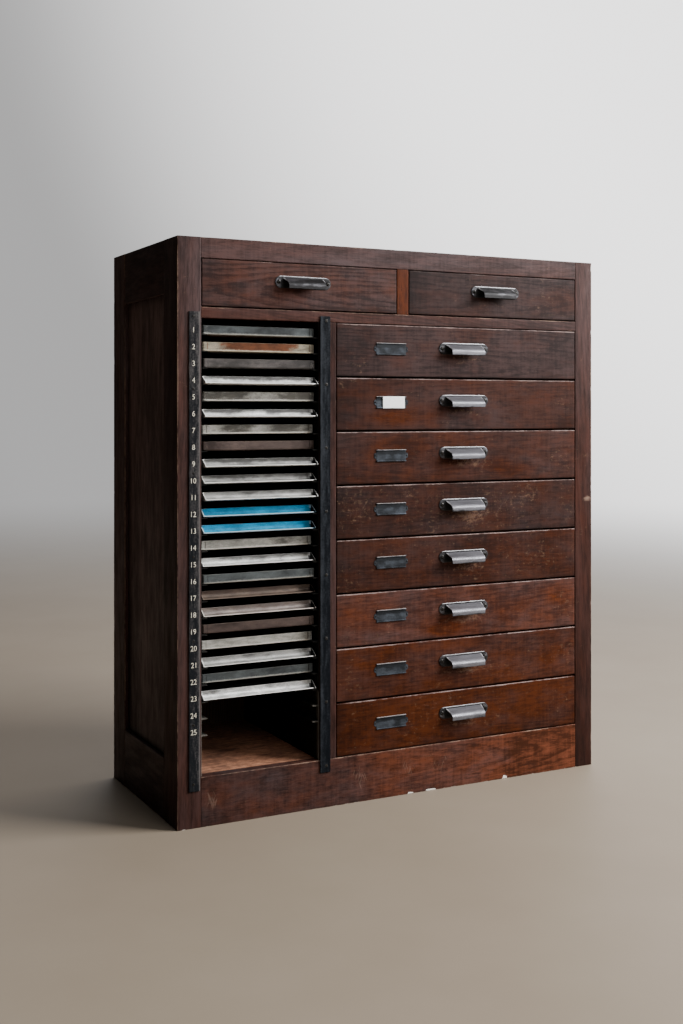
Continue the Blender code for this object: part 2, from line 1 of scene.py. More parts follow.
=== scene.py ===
"""The looks of a worn printer's cabinet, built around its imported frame.

Every board is a plank of its own with its own grain and rubbed arrises, every tray a folded sheet,
every pull a pressed hood on a round-ended plate. Units are metres, +Z is up, the front faces -Y.
"""

import math

import bmesh
import bpy
import numpy as np
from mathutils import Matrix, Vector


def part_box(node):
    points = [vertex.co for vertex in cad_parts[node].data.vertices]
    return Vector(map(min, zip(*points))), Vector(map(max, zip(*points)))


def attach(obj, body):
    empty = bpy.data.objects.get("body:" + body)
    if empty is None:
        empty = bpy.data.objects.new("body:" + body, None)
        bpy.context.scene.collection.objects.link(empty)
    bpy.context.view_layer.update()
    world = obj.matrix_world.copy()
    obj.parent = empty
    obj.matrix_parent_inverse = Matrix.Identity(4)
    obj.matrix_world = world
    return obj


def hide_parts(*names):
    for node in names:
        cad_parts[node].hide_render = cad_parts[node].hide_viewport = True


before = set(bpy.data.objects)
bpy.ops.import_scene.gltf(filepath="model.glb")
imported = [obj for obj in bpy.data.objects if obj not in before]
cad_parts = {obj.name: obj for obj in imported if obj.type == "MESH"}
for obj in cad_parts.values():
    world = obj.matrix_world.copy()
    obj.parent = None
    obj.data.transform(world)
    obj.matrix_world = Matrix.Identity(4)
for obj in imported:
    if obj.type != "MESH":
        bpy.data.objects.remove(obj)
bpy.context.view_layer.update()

MM = 0.001
QUARTER = math.pi / 2

# Camera, fitted to the cabinet's corners in a picture 683 wide and 1024 high
CAMERA_PLACE = (-1.30431, -2.42922, 0.78789)
CAMERA_YAW = 27.425
CAMERA_LENS = 44.42
CAMERA_SHIFT_UP = -0.0988

# Sizes that the frame's boxes don't give: the carcass
PANEL_TONGUE = 8 * MM
SIDE_RAIL_THICKNESS = 22 * MM
SIDE_RAIL_SET_BACK = 0.4 * MM
BOARD_HOUSING = 6 * MM
DUST_BOARD = 12 * MM
GUIDE_HEIGHT = 30 * MM
BEARER_HOUSING = 3 * MM
BEARER_FOOT = 0.6 * MM
BEARER_TOP = 8.6 * MM
JOINT_GAP = 0.15 * MM
# Drawers, their label holders and pulls
FRONT_THICKNESS = 20 * MM
DRAWER_SIDE = 12 * MM
DRAWER_REVEAL = 1.5 * MM
WORN_FOOT = 0.6 * MM
SIDE_PLAY = 2 * MM
STACK_LIFT = 8.9 * MM
TOP_LIFT = 0.3 * MM
HEAD_ROOM = 12 * MM
BOTTOM_RAISE = 6 * MM
BOTTOM_THICKNESS = 6 * MM
LABEL_FROM_LEFT = 90 * MM
LABEL_RAISE = 4.2 * MM
LABEL_WIDTH = 69 * MM
LABEL_HEIGHT = 24.5 * MM
LABEL_DEPTH = 3 * MM
LABEL_SHEET = 0.9 * MM
LABEL_LIP = 2.4 * MM
LABEL_EAR = 5 * MM
LABEL_EAR_HEIGHT = 12 * MM
CARD_WIDTH = 51 * MM
CARD_SHIFT = 5 * MM
PLATE_HALF = 12 * MM
HOOD_HALF = 44 * MM
HOOD_TAPER = 3.7 * MM
HOOD_TOP = 3 * MM
HOOD_FOOT = 25 * MM
PULL_SHEET = 1.6 * MM
PULL_SCREW_SPREAD = 53.5 * MM
# Trays, and the strips beside them
TRAY_SHEET = 1.6 * MM
TRAY_LIP = 18 * MM
TRAY_LIP_RISE = 2.2 * MM
TRAY_COVE = 8 * MM
CORNER_LAP = 11 * MM
NUMERAL_HEIGHT = 10 * MM
NUMERAL_NARROWING = 0.92
NUMERAL_FROM_EDGE = 13.1 * MM
NUMERAL_RAISE = 7 * MM
NUMERAL_PITCH = 31.6 * MM
SCREW_FROM_TOP = 9 * MM
SCREW_FROM_FOOT = 14 * MM

# Counts, and the slots and drawers that differ
LIPPED_TRAYS = (4, 6, 9, 10, 11, 12, 13, 15, 17, 18, 21, 23)
TRAYS = 23
SLOTS = 25
STACK_DRAWERS = 8
TOP_DRAWERS = ("top_left", "top_right")
CARD_DRAWER = "2"
SCREWS_BELOW = (4, 9, 14, 19, 24)
PLAIN_STRIP_SCREWS = 8

# Wear: patches to a board, the chip's height on its drawer, how deep the front's marks go, a dent's length
BOARD_PATCHES = 14
DRAWER_PATCHES = 10
CHIP_RAISE = 62 * MM
FACE_DEPTH = 2 * MM
DENT_LENGTH = 14 * MM

# How finely arrises are rounded, and where a flat gets its columns
ARC_POINTS = 4
NEAR_ARRIS = (1.5 * MM, 4 * MM, 10 * MM)

# A range node's setting: a value carried smoothly from one range to another and held at its ends
SMOOTH = {"interpolation_type": "SMOOTHSTEP"}
# A math node's setting: the first value times the second plus the third
TIMES_PLUS = {"operation": "MULTIPLY_ADD"}


def linear(code):
    """A linear RGBA colour from an sRGB hex value such as '5a4644'."""
    channels = np.array([int(code[i : i + 2], 16) for i in (0, 2, 4)]) / 255
    low, high = channels / 12.92, ((channels + 0.055) / 1.055) ** 2.4
    return (*np.where(channels <= 0.04045, low, high), 1.0)


def node(tree, kind, *values, out=0, **settings):
    """Adds a shader node and returns one of its outputs.

    The values go to its inputs in order and capitalised settings to the inputs that they name, each a socket,
    a number, a vector or an sRGB hex colour. The other settings are the node's own.
    """
    made = tree.nodes.new("ShaderNode" + kind)
    inputs = dict(enumerate(values))
    for key, value in settings.items():
        if key[0].isupper():
            inputs[key.replace("_", " ")] = value
        else:
            setattr(made, key, value)
    for key, value in inputs.items():
        if isinstance(value, bpy.types.NodeSocket):
            tree.links.new(value, made.inputs[key])
        else:
            made.inputs[key].default_value = linear(value) if isinstance(value, str) else value
    return made.outputs[out] if made.outputs else None


def new_material(name):
    """An empty material's node tree; the material comes back with it."""
    material = bpy.data.materials.new(name)
    material.use_nodes = True
    material.node_tree.nodes.clear()
    return material, material.node_tree


def surface(tree, relief=None, **inputs):
    """A principled shader on the material's output; relief is a bump's height, strength and depth."""
    if relief:
        height, strength, depth = relief
        inputs["Normal"] = node(tree, "Bump", Height=height, Strength=strength, Distance=depth)
    node(tree, "OutputMaterial", Surface=node(tree, "BsdfPrincipled", **inputs))


def lattice_noise(points, seed):
    """Value noise from -1 to 1: a random height at each whole-number corner, smoothstep between corners."""
    points = np.asarray(points, float)
    cell = np.floor(points).astype(np.int64)
    part = points - cell
    part = part * part * (3 - 2 * part)
    total = np.zeros(points.shape[:-1])
    for corner in np.ndindex(2, 2, 2):
        at = cell + np.array(corner)
        mixed = at[..., 0] * 374761393 + at[..., 1] * 668265263 + at[..., 2] * 1440662683 + seed * 974634777
        mixed = mixed & 0xFFFFFFFF
        mixed = ((mixed ^ (mixed >> 13)) * 1274126177) & 0xFFFFFFFF
        height = (mixed ^ (mixed >> 16)) / 2**31 - 1
        weight = np.prod(np.where(corner, part, 1 - part), axis=-1)
        total = total + height * weight
    return total


def band_faces(rows, columns):
    """Quads between rows of points whose columns close on themselves."""
    row, column = np.meshgrid(np.arange(rows - 1), np.arange(columns), indexing="ij")
    a, b = row * columns + column, row * columns + (column + 1) % columns
    return np.stack([a, b, b + columns, a + columns], -1).reshape(-1, 4).tolist()


def loft(rings):
    """A closed surface through rings of points, with a fan round the middle of the first and of the last ring."""
    rings = np.asarray(rings, float)
    rows, columns = rings.shape[:2]
    hubs = np.stack([rings[0].mean(0), rings[-1].mean(0)])
    ring = np.arange(columns)
    after = (ring + 1) % columns
    last = (rows - 1) * columns
    start = np.stack([after, ring, np.full(columns, rows * columns)], -1)
    end = np.stack([last + ring, last + after, np.full(columns, rows * columns + 1)], -1)
    faces = band_faces(rows, columns) + start.tolist() + end.tolist()
    return np.concatenate([rings.reshape(-1, 3), hubs]), faces


def thick_sheet(front, back):
    """A closed sheet from the grids of its two faces, joined by quads round their four edges."""
    rows, columns = front.shape[:2]
    behind = rows * columns
    index = np.arange(behind).reshape(rows, columns)
    quads = np.stack([index[:-1, :-1], index[:-1, 1:], index[1:, 1:], index[1:, :-1]], -1).reshape(-1, 4)
    border = np.concatenate([index[0, :-1], index[:-1, -1], index[-1, :0:-1], index[:0:-1, 0]])
    after = np.roll(border, -1)
    joints = np.stack([after, border, border + behind, after + behind], -1)
    faces = np.concatenate([quads, quads[:, [0, 3, 2, 1]] + behind, joints])
    return np.concatenate([front.reshape(-1, 3), back.reshape(-1, 3)]), faces.tolist()


def swept(x, y, z):
    """A grid of points: a side view's depths and heights, row by row, carried along places across."""
    return np.stack(np.broadcast_arrays(x, y[:, None], z[:, None]), -1)


def merged(shapes):
    """Several (points, faces) shapes as one."""
    points, faces, start = [], [], 0
    for shape_points, shape_faces in shapes:
        points.append(shape_points)
        faces += [[start + i for i in face] for face in shape_faces]
        start += len(shape_points)
    return np.concatenate(points), faces


def fading(distance, reach):
    """One at no distance, and less by a factor of e for each reach, given in millimetres."""
    return np.exp(-distance / (reach * MM))


def placed(name, data):
    """A new object at the origin, linked to the scene."""
    obj = bpy.data.objects.new(name, data)
    bpy.context.scene.collection.objects.link(obj)
    return obj


def piece(name, shape, material, body, attributes=None, replaces=None, sharp=40):
    """A mesh at the origin that rides on a body, with named attributes on its points; it can replace a CAD node."""
    points, faces = shape
    mesh = bpy.data.meshes.new(name)
    mesh.from_pydata(np.asarray(points).tolist(), [], faces)
    for key, values in (attributes or {}).items():
        values = np.asarray(values, np.float32)
        kind, field = ("FLOAT_VECTOR", "vector") if values.ndim == 2 else ("FLOAT", "value")
        mesh.attributes.new(key, kind, "POINT").data.foreach_set(field, values.ravel())
    mesh.shade_smooth()
    mesh.set_sharp_from_angle(angle=math.radians(sharp))
    mesh.materials.append(material)
    obj = placed(name, mesh)
    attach(obj, body)
    if replaces:
        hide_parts(replaces)


# Boards


def section(half_b, half_c, radius, grid):
    """A plank's rounded rectangle, anticlockwise: points, outward normals, distance to the nearest arris, its corner.

    Each corner is a quarter circle, followed by the flat that leads to the next one, with columns close
    to both arrises and no further apart than grid.
    """
    angles = np.linspace(0, QUARTER, ARC_POINTS)
    points, normals, distances, corners = [], [], [], []
    signs = ((1, -1), (1, 1), (-1, 1), (-1, -1))
    for turn, sign in enumerate(signs):
        angle = angles + (turn - 1) * QUARTER
        normal = np.stack([np.cos(angle), np.sin(angle)], -1)
        centre = np.array(sign) * (np.array([half_b, half_c]) - radius)
        points.append(centre + radius * normal)
        normals.append(normal)
        distances.append(np.zeros(ARC_POINTS))
        corners.append(np.tile(sign, (ARC_POINTS, 1)))
        length = 2 * ((half_b if turn % 2 else half_c) - radius)
        near = np.array([d for d in NEAR_ARRIS if d < length / 2 - 1 * MM])
        clear = length - 2 * near.max(initial=0)
        count = max(1, round(clear / grid))
        along = near.max(initial=0) + clear * (np.arange(count) + 0.5) / count
        along = np.concatenate([near, along, length - near[::-1]])
        forward = np.array([-normal[-1][1], normal[-1][0]])
        points.append(points[-1][-1] + along[:, None] * forward)
        normals.append(np.tile(normal[-1], (len(along), 1)))
        distances.append(np.minimum(along, length - along))
        corners.append(np.where(along[:, None] < length / 2, sign, signs[(turn + 1) % 4]))
    return [np.concatenate(part) for part in (points, normals, distances, corners)]


def plank(
    low, high, axis, radius=1.0 * MM, end_radius=0.6 * MM, step=6 * MM, grid=40 * MM,
    wear=0.3, arrises=None, dent=0.5 * MM, figure=0.25, tone=0.3, seed=0,
):
    """A board: a rounded rectangle carried along an axis and drawn in at both ends, so that every arris is rounded.

    Noise dents the arrises inwards. Returns the shape and its attributes: grain, the place in the tree
    measured from the pith (along, across, through); wear, near 1 on a rubbed arris; figure, how strongly
    the rings show; tone, from grey to red. arrises maps a corner's signs on the two cross axes to its wear.
    """
    low, high = np.asarray(low, float), np.asarray(high, float)
    cross = [(axis + 1) % 3, (axis + 2) % 3]
    half, middle = (high - low) / 2, (high + low) / 2
    flat, normal, distance, corner = section(half[cross[0]], half[cross[1]], radius, grid)
    length = 2 * half[axis]
    turn = np.linspace(0.12, 1, ARC_POINTS) * QUARTER
    end_place, end_inset = end_radius * (1 - np.cos(turn)), end_radius * (1 - np.sin(turn))
    start = end_radius + 2 * MM
    count = max(2, int((length - 2 * start) / step))
    place = np.concatenate([end_place, np.linspace(start, length - start, count), length - end_place[::-1]])
    inset = np.concatenate([end_inset, np.zeros(count), end_inset[::-1]])
    rubbed = np.full(len(flat), wear)
    for signs, amount in (arrises or {}).items():
        rubbed[(corner == signs).all(1)] = amount
    where = np.empty((len(place), len(flat), 3))
    where[..., 0] = place[:, None] / DENT_LENGTH
    where[..., 1] = corner @ np.array([3.7, 9.1])
    where[..., 2] = seed * 0.37
    bite = lattice_noise(where, seed) + 0.6 * lattice_noise(where * 3.1, seed + 1) - 0.25
    bite = np.clip(bite, 0, 1) * rubbed * fading(distance, 2.5)
    drawn = inset[:, None] + dent * bite
    rings = np.empty((len(place), len(flat), 3))
    rings[..., axis] = low[axis] + place[:, None]
    for i in (0, 1):
        rings[..., cross[i]] = middle[cross[i]] + flat[:, i] - normal[:, i] * drawn
    shape = loft(rings)
    to_end = np.minimum(place, length - place)
    worn = np.maximum(rubbed * fading(distance, 1.0), wear * fading(to_end, 1.5)[:, None])
    worn = np.clip(worn + bite * 0.6, 0, 1.2)
    attributes = {
        "grain": grain_places(shape[0] - middle, axis, half, seed),
        "wear": np.concatenate([worn.ravel(), [wear * 0.3] * 2]),
        "figure": np.full(len(shape[0]), figure),
        "tone": np.full(len(shape[0]), tone),
    }
    return shape, attributes


def grain_places(points, axis, half, seed):
    """Each point's place in the tree that a board was sawn from, with the pith leaning through the board."""
    rng = np.random.default_rng(seed + 11)
    wide, thin = sorted({0, 1, 2} - {axis}, key=lambda i: -half[i])
    along = points[:, axis] + rng.uniform(0, 9)
    across = points[:, wide] + rng.uniform(-0.5, 0.5) * half[wide]
    lean = rng.choice((-1, 1)) * rng.uniform(0.03, 0.09)
    through = points[:, thin] + lean * points[:, axis] + rng.uniform(0.02, 0.05)
    return np.stack([along, across, through], -1)


def joined_planks(planks):
    """Several planks as one shape, each keeping its own attributes."""
    shape = merged([made[0] for made in planks])
    return shape, {key: np.concatenate([made[1][key] for made in planks]) for key in planks[0][1]}


def bells(points, patches):
    """The highest of several oval bells over the front plane, each (x, z, half width, half height, amount)."""
    x, z, wide, tall, amount = (np.array(column) for column in zip(*patches))
    across = (points[:, None, 0] - x) / wide
    up = (points[:, None, 2] - z) / tall
    return (amount * np.exp(-(across**2) - up**2)).max(1)


def random_patches(low, high, count, amount, seed):
    """Rubbed patches strewn over a front between two corners."""
    rng = np.random.default_rng(seed)
    x, z = rng.uniform(low[0], high[0], count), rng.uniform(low[2], high[2], count)
    wide, tall = rng.uniform(8 * MM, 45 * MM, count), rng.uniform(5 * MM, 18 * MM, count)
    return list(zip(x, z, wide, tall, rng.uniform(0.3, 1, count) * amount))


# Finishes


def ringed(tree, grain, ring_mm):
    """Growth rings from 0 to 1: the distance from the pith, wavered by noise, cut into rings dark on one side."""
    stretched = node(tree, "Mapping", Vector=grain, Scale=(4, 22, 22))
    swirl = node(tree, "TexNoise", Vector=stretched, Scale=1.0, Detail=4.0, out=1)
    swirl = node(tree, "VectorMath", swirl, (0.5, 0.5, 0.5), operation="SUBTRACT")
    swirl = node(tree, "VectorMath", swirl, (0, 0.02, 0.02), operation="MULTIPLY")
    wavered = node(tree, "VectorMath", grain, (0, 1, 1), swirl, operation="MULTIPLY_ADD")
    radius = node(tree, "VectorMath", wavered, out=1, operation="LENGTH")
    phase = node(tree, "Math", radius, 1 / (ring_mm * MM), operation="MULTIPLY")
    phase = node(tree, "Math", phase, operation="FRACT")
    darker = node(tree, "MapRange", phase, 0.3, 0.85, **SMOOTH)
    paler = node(tree, "MapRange", phase, 1.0, 0.88, **SMOOTH)
    return node(tree, "Math", darker, paler, operation="MULTIPLY")


def noise(tree, at, scale, detail=4.0, roughness=0.6):
    """Cloudy noise with a scale for each axis, in cells to the metre."""
    spread = node(tree, "Mapping", Vector=at, Scale=scale)
    return node(tree, "TexNoise", Vector=spread, Scale=1.0, Detail=detail, Roughness=roughness)


def stained_wood(name, grey, red, worn, tone=None, shift=(0, 0, 0), stretch=1.0, gleam=0.06):
    """Stained and varnished hardwood: planed, dark, with fine fibre, faint rings, blotchy staining and rubbed arrises.

    The eye gets a satin brown that goes from a grey bloom to red, pale pink-brown where hands and drawers
    have rubbed the arrises, fine pale scratches, tan nicks, and a few spots of white paint low down. The
    fibre is drawn coarser than the real 0.3 mm pores, so that it shows. grey and red are pairs of light and
    dark colours, and stretch below 1 draws the blotches out along the grain. With a tone given, the grain
    comes from shifted Object coordinates instead of a board's own.
    """
    material, tree = new_material(name)
    place = node(tree, "TexCoord", out=3)
    if tone is None:
        grain = node(tree, "Attribute", out=1, attribute_name="grain")
        tone = node(tree, "Attribute", out=2, attribute_name="tone")
    else:
        grain = node(tree, "Mapping", Vector=place, Location=shift)
    figure, lift, rub, scuff, wear, grime_and_shade, paint = (
        node(tree, "Attribute", out=2, attribute_name=key)
        for key in ("figure", "lift", "rub", "scuff", "wear", "grime_and_shade", "paint")
    )
    ring = node(tree, "Math", ringed(tree, grain, 8), figure, operation="MULTIPLY")
    fibre = noise(tree, grain, (26, 320, 320), 5.0, 0.75)
    pore = node(tree, "MapRange", noise(tree, grain, (40, 1100, 1100), 2.0), 0.56, 0.72, **SMOOTH)
    mottle = noise(tree, grain, (36 * stretch, 60, 60), 5.0, 0.65)
    blotch = noise(tree, grain, (6 * stretch, 10, 10), 4.0, 0.55)
    drips = noise(tree, place, (150, 150, 10), 4.0, 0.6)
    dark = node(tree, "Math", ring, 0.8, -3.05, **TIMES_PLUS)
    for value, factor in ((fibre, 2.1), (mottle, 1.9), (blotch, 1.8), (drips, 1.1), (pore, 0.4)):
        dark = node(tree, "Math", value, factor, dark, **TIMES_PLUS)
    dark = node(tree, "MapRange", dark, 0.0, 1.0)
    hue = noise(tree, grain, (8 * stretch, 16, 16), 5.0, 0.65)
    hue = node(tree, "Math", hue, 1.2 + stretch, -0.6 - stretch / 2, **TIMES_PLUS)
    redness = node(tree, "Math", hue, tone, operation="ADD", use_clamp=True)
    colour = node(tree, "MixRGB", redness, node(tree, "MixRGB", dark, *grey), node(tree, "MixRGB", dark, *red))
    lift = node(tree, "Math", lift, 1.0, 1.0, **TIMES_PLUS)
    colour = node(tree, "VectorMath", colour, Scale=lift, operation="SCALE")

    wide = noise(tree, place, (12, 12, 12), 3.0)
    open_to_wear = node(tree, "Math", rub, 0.12, node(tree, "Math", wide, 0.4, -0.2, **TIMES_PLUS), **TIMES_PLUS)
    scuffed = node(tree, "Math", scuff, 0.3, -0.08, **TIMES_PLUS)
    strokes = (
        (0.12, 40, 2.0, open_to_wear, 0.14),
        (-0.9, 90, 1.2, open_to_wear, 0.14),
        (1.45, 70, 1.4, open_to_wear, 0.14),
        (1.2, 40, 3.4, scuffed, 0.32),
        (1.85, 30, 3.0, scuffed, 0.32),
    )
    pale = 0.0
    for angle, reach, width, likely, strength in strokes:
        size = (reach * MM, 90 * MM, width * MM)
        line = node(tree, "Mapping", Vector=place, Rotation=(0, angle, 0), Scale=size, vector_type="TEXTURE")
        line = node(tree, "TexNoise", Vector=line, Scale=1.0, Detail=1.0, Distortion=0.7)
        line = node(tree, "Math", line, likely, operation="ADD")
        line = node(tree, "MapRange", line, 0.82, 0.96, 0.0, strength, **SMOOTH)
        pale = node(tree, "Math", pale, line, operation="MAXIMUM")
    fleck = node(tree, "Math", open_to_wear, 0.8, noise(tree, place, (75, 75, 130), 5.0, 0.75), **TIMES_PLUS)
    colour = node(tree, "MixRGB", node(tree, "MapRange", fleck, 0.63, 0.78, 0.0, 0.32, **SMOOTH), colour, "826650")
    fret = noise(tree, place, (110, 110, 110), 6.0, 0.7)
    rubbed = node(tree, "Math", wide, 1.4, node(tree, "Math", fret, 1.2, wear, **TIMES_PLUS), **TIMES_PLUS)
    pale = node(tree, "Math", pale, node(tree, "MapRange", rubbed, 1.75, 2.35, 0.0, 0.9, **SMOOTH), operation="MAXIMUM")
    colour = node(tree, "MixRGB", pale, colour, worn)
    # Grime, and painted shade in panel seats and along each drawer front's foot, darken the wood here.
    colour = node(tree, "MixRGB", grime_and_shade, colour, "0c0706")
    paint = node(tree, "Math", paint, noise(tree, place, (60, 60, 60), 5.0, 0.7), operation="ADD")
    colour = node(tree, "MixRGB", node(tree, "MapRange", paint, 1.05, 1.2, **SMOOTH), colour, "d8d3ca")

    rough = node(tree, "Math", pale, 0.2, node(tree, "MapRange", mottle, 0.3, 0.7, 0.34, 0.52, **SMOOTH), **TIMES_PLUS)
    height = node(tree, "Math", pale, -0.6, node(tree, "Math", pore, -0.4, fibre, **TIMES_PLUS), **TIMES_PLUS)
    surface(tree, (height, 0.3, 0.5 * MM), Base_Color=colour, Roughness=rough, Specular_IOR_Level=gleam)
    return material


def bare_wood(name, pale, dark, dirt, turn=None, shift=(0, 0, 0), soil=0.45, speckle=0.0):
    """Unfinished softwood in the bay, inside the drawers and on the back: sawn, dry, darkened by age and ink.

    The eye gets dry brown boards with fine fibre, stains up to the share soil, and specks where things
    have stood. The grain comes from turned and shifted Object coordinates, or with no turn from a board's own.
    """
    material, tree = new_material(name)
    if turn is None:
        grain = node(tree, "Attribute", out=1, attribute_name="grain")
    else:
        place = node(tree, "TexCoord", out=3)
        grain = node(tree, "Mapping", Vector=place, Rotation=turn, Location=shift)
    fibre = noise(tree, grain, (18, 450, 450), 5.0, 0.65)
    darkening = node(tree, "MapRange", noise(tree, grain, (9, 18, 18), 6.0, 0.75), 0.38, 0.68, 0.0, soil, **SMOOTH)
    mix = node(tree, "Math", ringed(tree, grain, 6), 0.35, -0.2 - speckle / 2, **TIMES_PLUS)
    mix = node(tree, "Math", fibre, 1.1, mix, **TIMES_PLUS)
    mix = node(tree, "Math", noise(tree, grain, (60, 110, 110), 6.0, 0.8), speckle, mix, **TIMES_PLUS)
    colour = node(tree, "MixRGB", node(tree, "MapRange", mix, 0.0, 1.0, **SMOOTH), pale, dark)
    colour = node(tree, "MixRGB", darkening, colour, dirt)
    rough = node(tree, "MapRange", fibre, 0.3, 0.7, 0.6, 0.8, **SMOOTH)
    surface(tree, (fibre, 0.3, 0.5 * MM), Base_Color=colour, Roughness=rough)
    return material


def sheet_metal(name, base, darkening, bright, rough=0.42, metallic=0.6, gleam=0.5, streak=0.6, brush=(40, 50, 150)):
    """Sheet steel, plated, bare or painted: folded, rubbed one way by fingers, smeared with ink and rust.

    The eye gets clouded metal with stains and painted shade where the piece's attribute for them is high,
    painted black shadow where it is highest, and bright metal where its edge attribute says that it is rubbed
    and where it carries a painted highlight.
    """
    material, tree = new_material(name)
    place = node(tree, "Attribute", out=1, attribute_name="local")
    edge = node(tree, "Attribute", out=2, attribute_name="edge")
    # Stains and painted shade, from the piece's attribute for them.
    stained = node(tree, "Attribute", out=2, attribute_name="darkening")
    brushed = noise(tree, place, brush, 5.0, 0.65)
    cloud = noise(tree, place, (30, 40, 60), 6.0, 0.65)
    speck = noise(tree, place, (420, 420, 420), 3.0, 0.7)
    spread = node(tree, "Math", cloud, 2.0, node(tree, "Math", brushed, 1.6, stained, **TIMES_PLUS), **TIMES_PLUS)
    colour = node(tree, "MixRGB", node(tree, "MapRange", spread, 1.45, 2.25, **SMOOTH), base, darkening)
    # Painted black shadow where the value is highest, as in tray wings and under pull hoods.
    colour = node(tree, "MixRGB", node(tree, "MapRange", spread, 4.0, 5.0, **SMOOTH), colour, "070707")
    shade = node(
        tree, "MapRange", node(tree, "Math", speck, 0.4, brushed, **TIMES_PLUS), 0.54, 0.86, 0.35, 1.4, **SMOOTH
    )
    colour = node(tree, "MixRGB", streak, colour, shade, blend_type="MULTIPLY")
    # Bright bare metal where rubbed, and painted highlights where the edge attribute carries them.
    rub = node(tree, "Math", cloud, 0.5, node(tree, "Math", speck, 0.5, edge, **TIMES_PLUS), **TIMES_PLUS)
    rub = node(tree, "MapRange", rub, 0.85, 1.3, 0.0, 0.9, **SMOOTH)
    colour = node(tree, "MixRGB", rub, colour, bright)
    gloss = node(tree, "MapRange", cloud, 0.3, 0.7, rough - 0.08, rough + 0.14, **SMOOTH)
    height = node(tree, "Math", speck, 0.5, cloud, **TIMES_PLUS)
    relief = (height, 0.15, 0.4 * MM)
    surface(tree, relief, Base_Color=colour, Roughness=gloss, Metallic=metallic, Specular_IOR_Level=gleam)
    return material


def black_steel(name, base, rubbed, rubbed_from=-9.0, rubbed_below=0.0):
    """Japanned strip steel: a thin blue-black coat, rubbed grey along the edges that trays have passed.

    Sheet that has no edge attribute is rubbed for 15 mm behind the depth rubbed_from, most below a height. The
    edge attribute also carries painted light.
    """
    material, tree = new_material(name)
    place = node(tree, "TexCoord", out=3)
    cloud = noise(tree, place, (160, 160, 26), 6.0, 0.7)
    speck = noise(tree, place, (300, 300, 300), 3.0)
    depth = node(tree, "VectorMath", place, (0, 1, 0), out=1, operation="DOT_PRODUCT")
    level = node(tree, "VectorMath", place, (0, 0, 1), out=1, operation="DOT_PRODUCT")
    behind = node(tree, "MapRange", depth, rubbed_from + 15 * MM, rubbed_from, **SMOOTH)
    below = node(tree, "MapRange", level, rubbed_below + 10 * MM, rubbed_below, 0.0, 0.5, **SMOOTH)
    edge = node(tree, "Attribute", out=2, attribute_name="edge")
    worn = node(tree, "Math", behind, below, operation="MULTIPLY")
    worn = node(tree, "Math", edge, 1.0, worn, **TIMES_PLUS)
    worn = node(tree, "Math", cloud, 1.3, node(tree, "Math", speck, 0.6, worn, **TIMES_PLUS), **TIMES_PLUS)
    colour = node(tree, "MixRGB", node(tree, "MapRange", worn, 0.95, 1.6, 0.0, 0.9, **SMOOTH), base, rubbed)
    rough = node(tree, "MapRange", cloud, 0.3, 0.7, 0.42, 0.62, **SMOOTH)
    surface(tree, (cloud, 0.15, 0.3 * MM), Base_Color=colour, Roughness=rough, Specular_IOR_Level=0.04)
    return material


def flat_paint(name, colour, soiled, rough):
    """Cream enamel or card: a matt colour with soiled clouds and worn gaps."""
    material, tree = new_material(name)
    place = node(tree, "TexCoord", out=3)
    cloud = node(tree, "MapRange", noise(tree, place, (180, 180, 180), 5.0, 0.7), 0.45, 0.75, 0.0, 0.8, **SMOOTH)
    surface(tree, Base_Color=node(tree, "MixRGB", cloud, colour, soiled), Roughness=rough)
    return material


CARCASS_GREY, CARCASS_RED, CARCASS_WORN = ("4e4040", "2e2525"), ("4d281b", "2d160d"), "907767"
UPRIGHT = (0, QUARTER, 0)
oak = stained_wood("stained_oak_carcass", CARCASS_GREY, CARCASS_RED, CARCASS_WORN, stretch=0.35)
oak_rail = stained_wood("stained_oak_bottom_rail", CARCASS_GREY, ("663826", "361b0f"), CARCASS_WORN)
oak_front = stained_wood("stained_oak_drawer_front", ("3f2f2d", "241a19"), ("4a230f", "2d1206"), "8c7974")
top_oak = stained_wood(
    "stained_oak_top", CARCASS_GREY, CARCASS_RED, CARCASS_WORN, 0.3, (0.3, 0.04, -1.08), 0.35, 0.01
)
floor_wood = bare_wood(
    "worn_bay_floor", "b07c5e", "68402b", "38211a", (0, 0, 0), (0.7, 0.03, -0.06), 0.7, 3.0
)
inner_wood = bare_wood("bare_pine_partition", "6d523d", "4a3526", "2b1f17", UPRIGHT, (0.2, 0.1, 0.05))
back_wood = bare_wood("bare_pine_back", "6f533e", "493222", "32221a", UPRIGHT, (0.4, -0.16, 0.03))
drawer_wood = bare_wood("bare_beech_drawer_box", "967455", "6c4e36", "402c20")
number_steel = black_steel("japanned_number_strip_steel", "15171a", "585453")
plain_steel = black_steel("japanned_plain_strip_steel", "0b0e12", "2f3237")
rack_steel = black_steel(
    "blackened_rack_steel", "191817", "605c56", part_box("galley_rack_left")[0].y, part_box("tray_23")[0].z - 8 * MM
)
pull_steel = sheet_metal("pressed_pull_steel", "6b6a6f", "1b1a1b", "c3c2c4", 0.45, 0.7, 0.5, 0.35, (16, 160, 160))
holder_steel = sheet_metal("label_holder_steel", "3b4047", "181b1f", "a8a09c", 0.5, 0.4, 0.2)
screw_steel = sheet_metal("screw_steel", "5c5b59", "262422", "8c8a86", 0.4, 0.7)
numeral_cream = flat_paint("numeral_cream_enamel", "cfc9b8", "77715f", 0.6)
card_white = flat_paint("white_card", "fdfdfd", "f0eeea", 0.85)
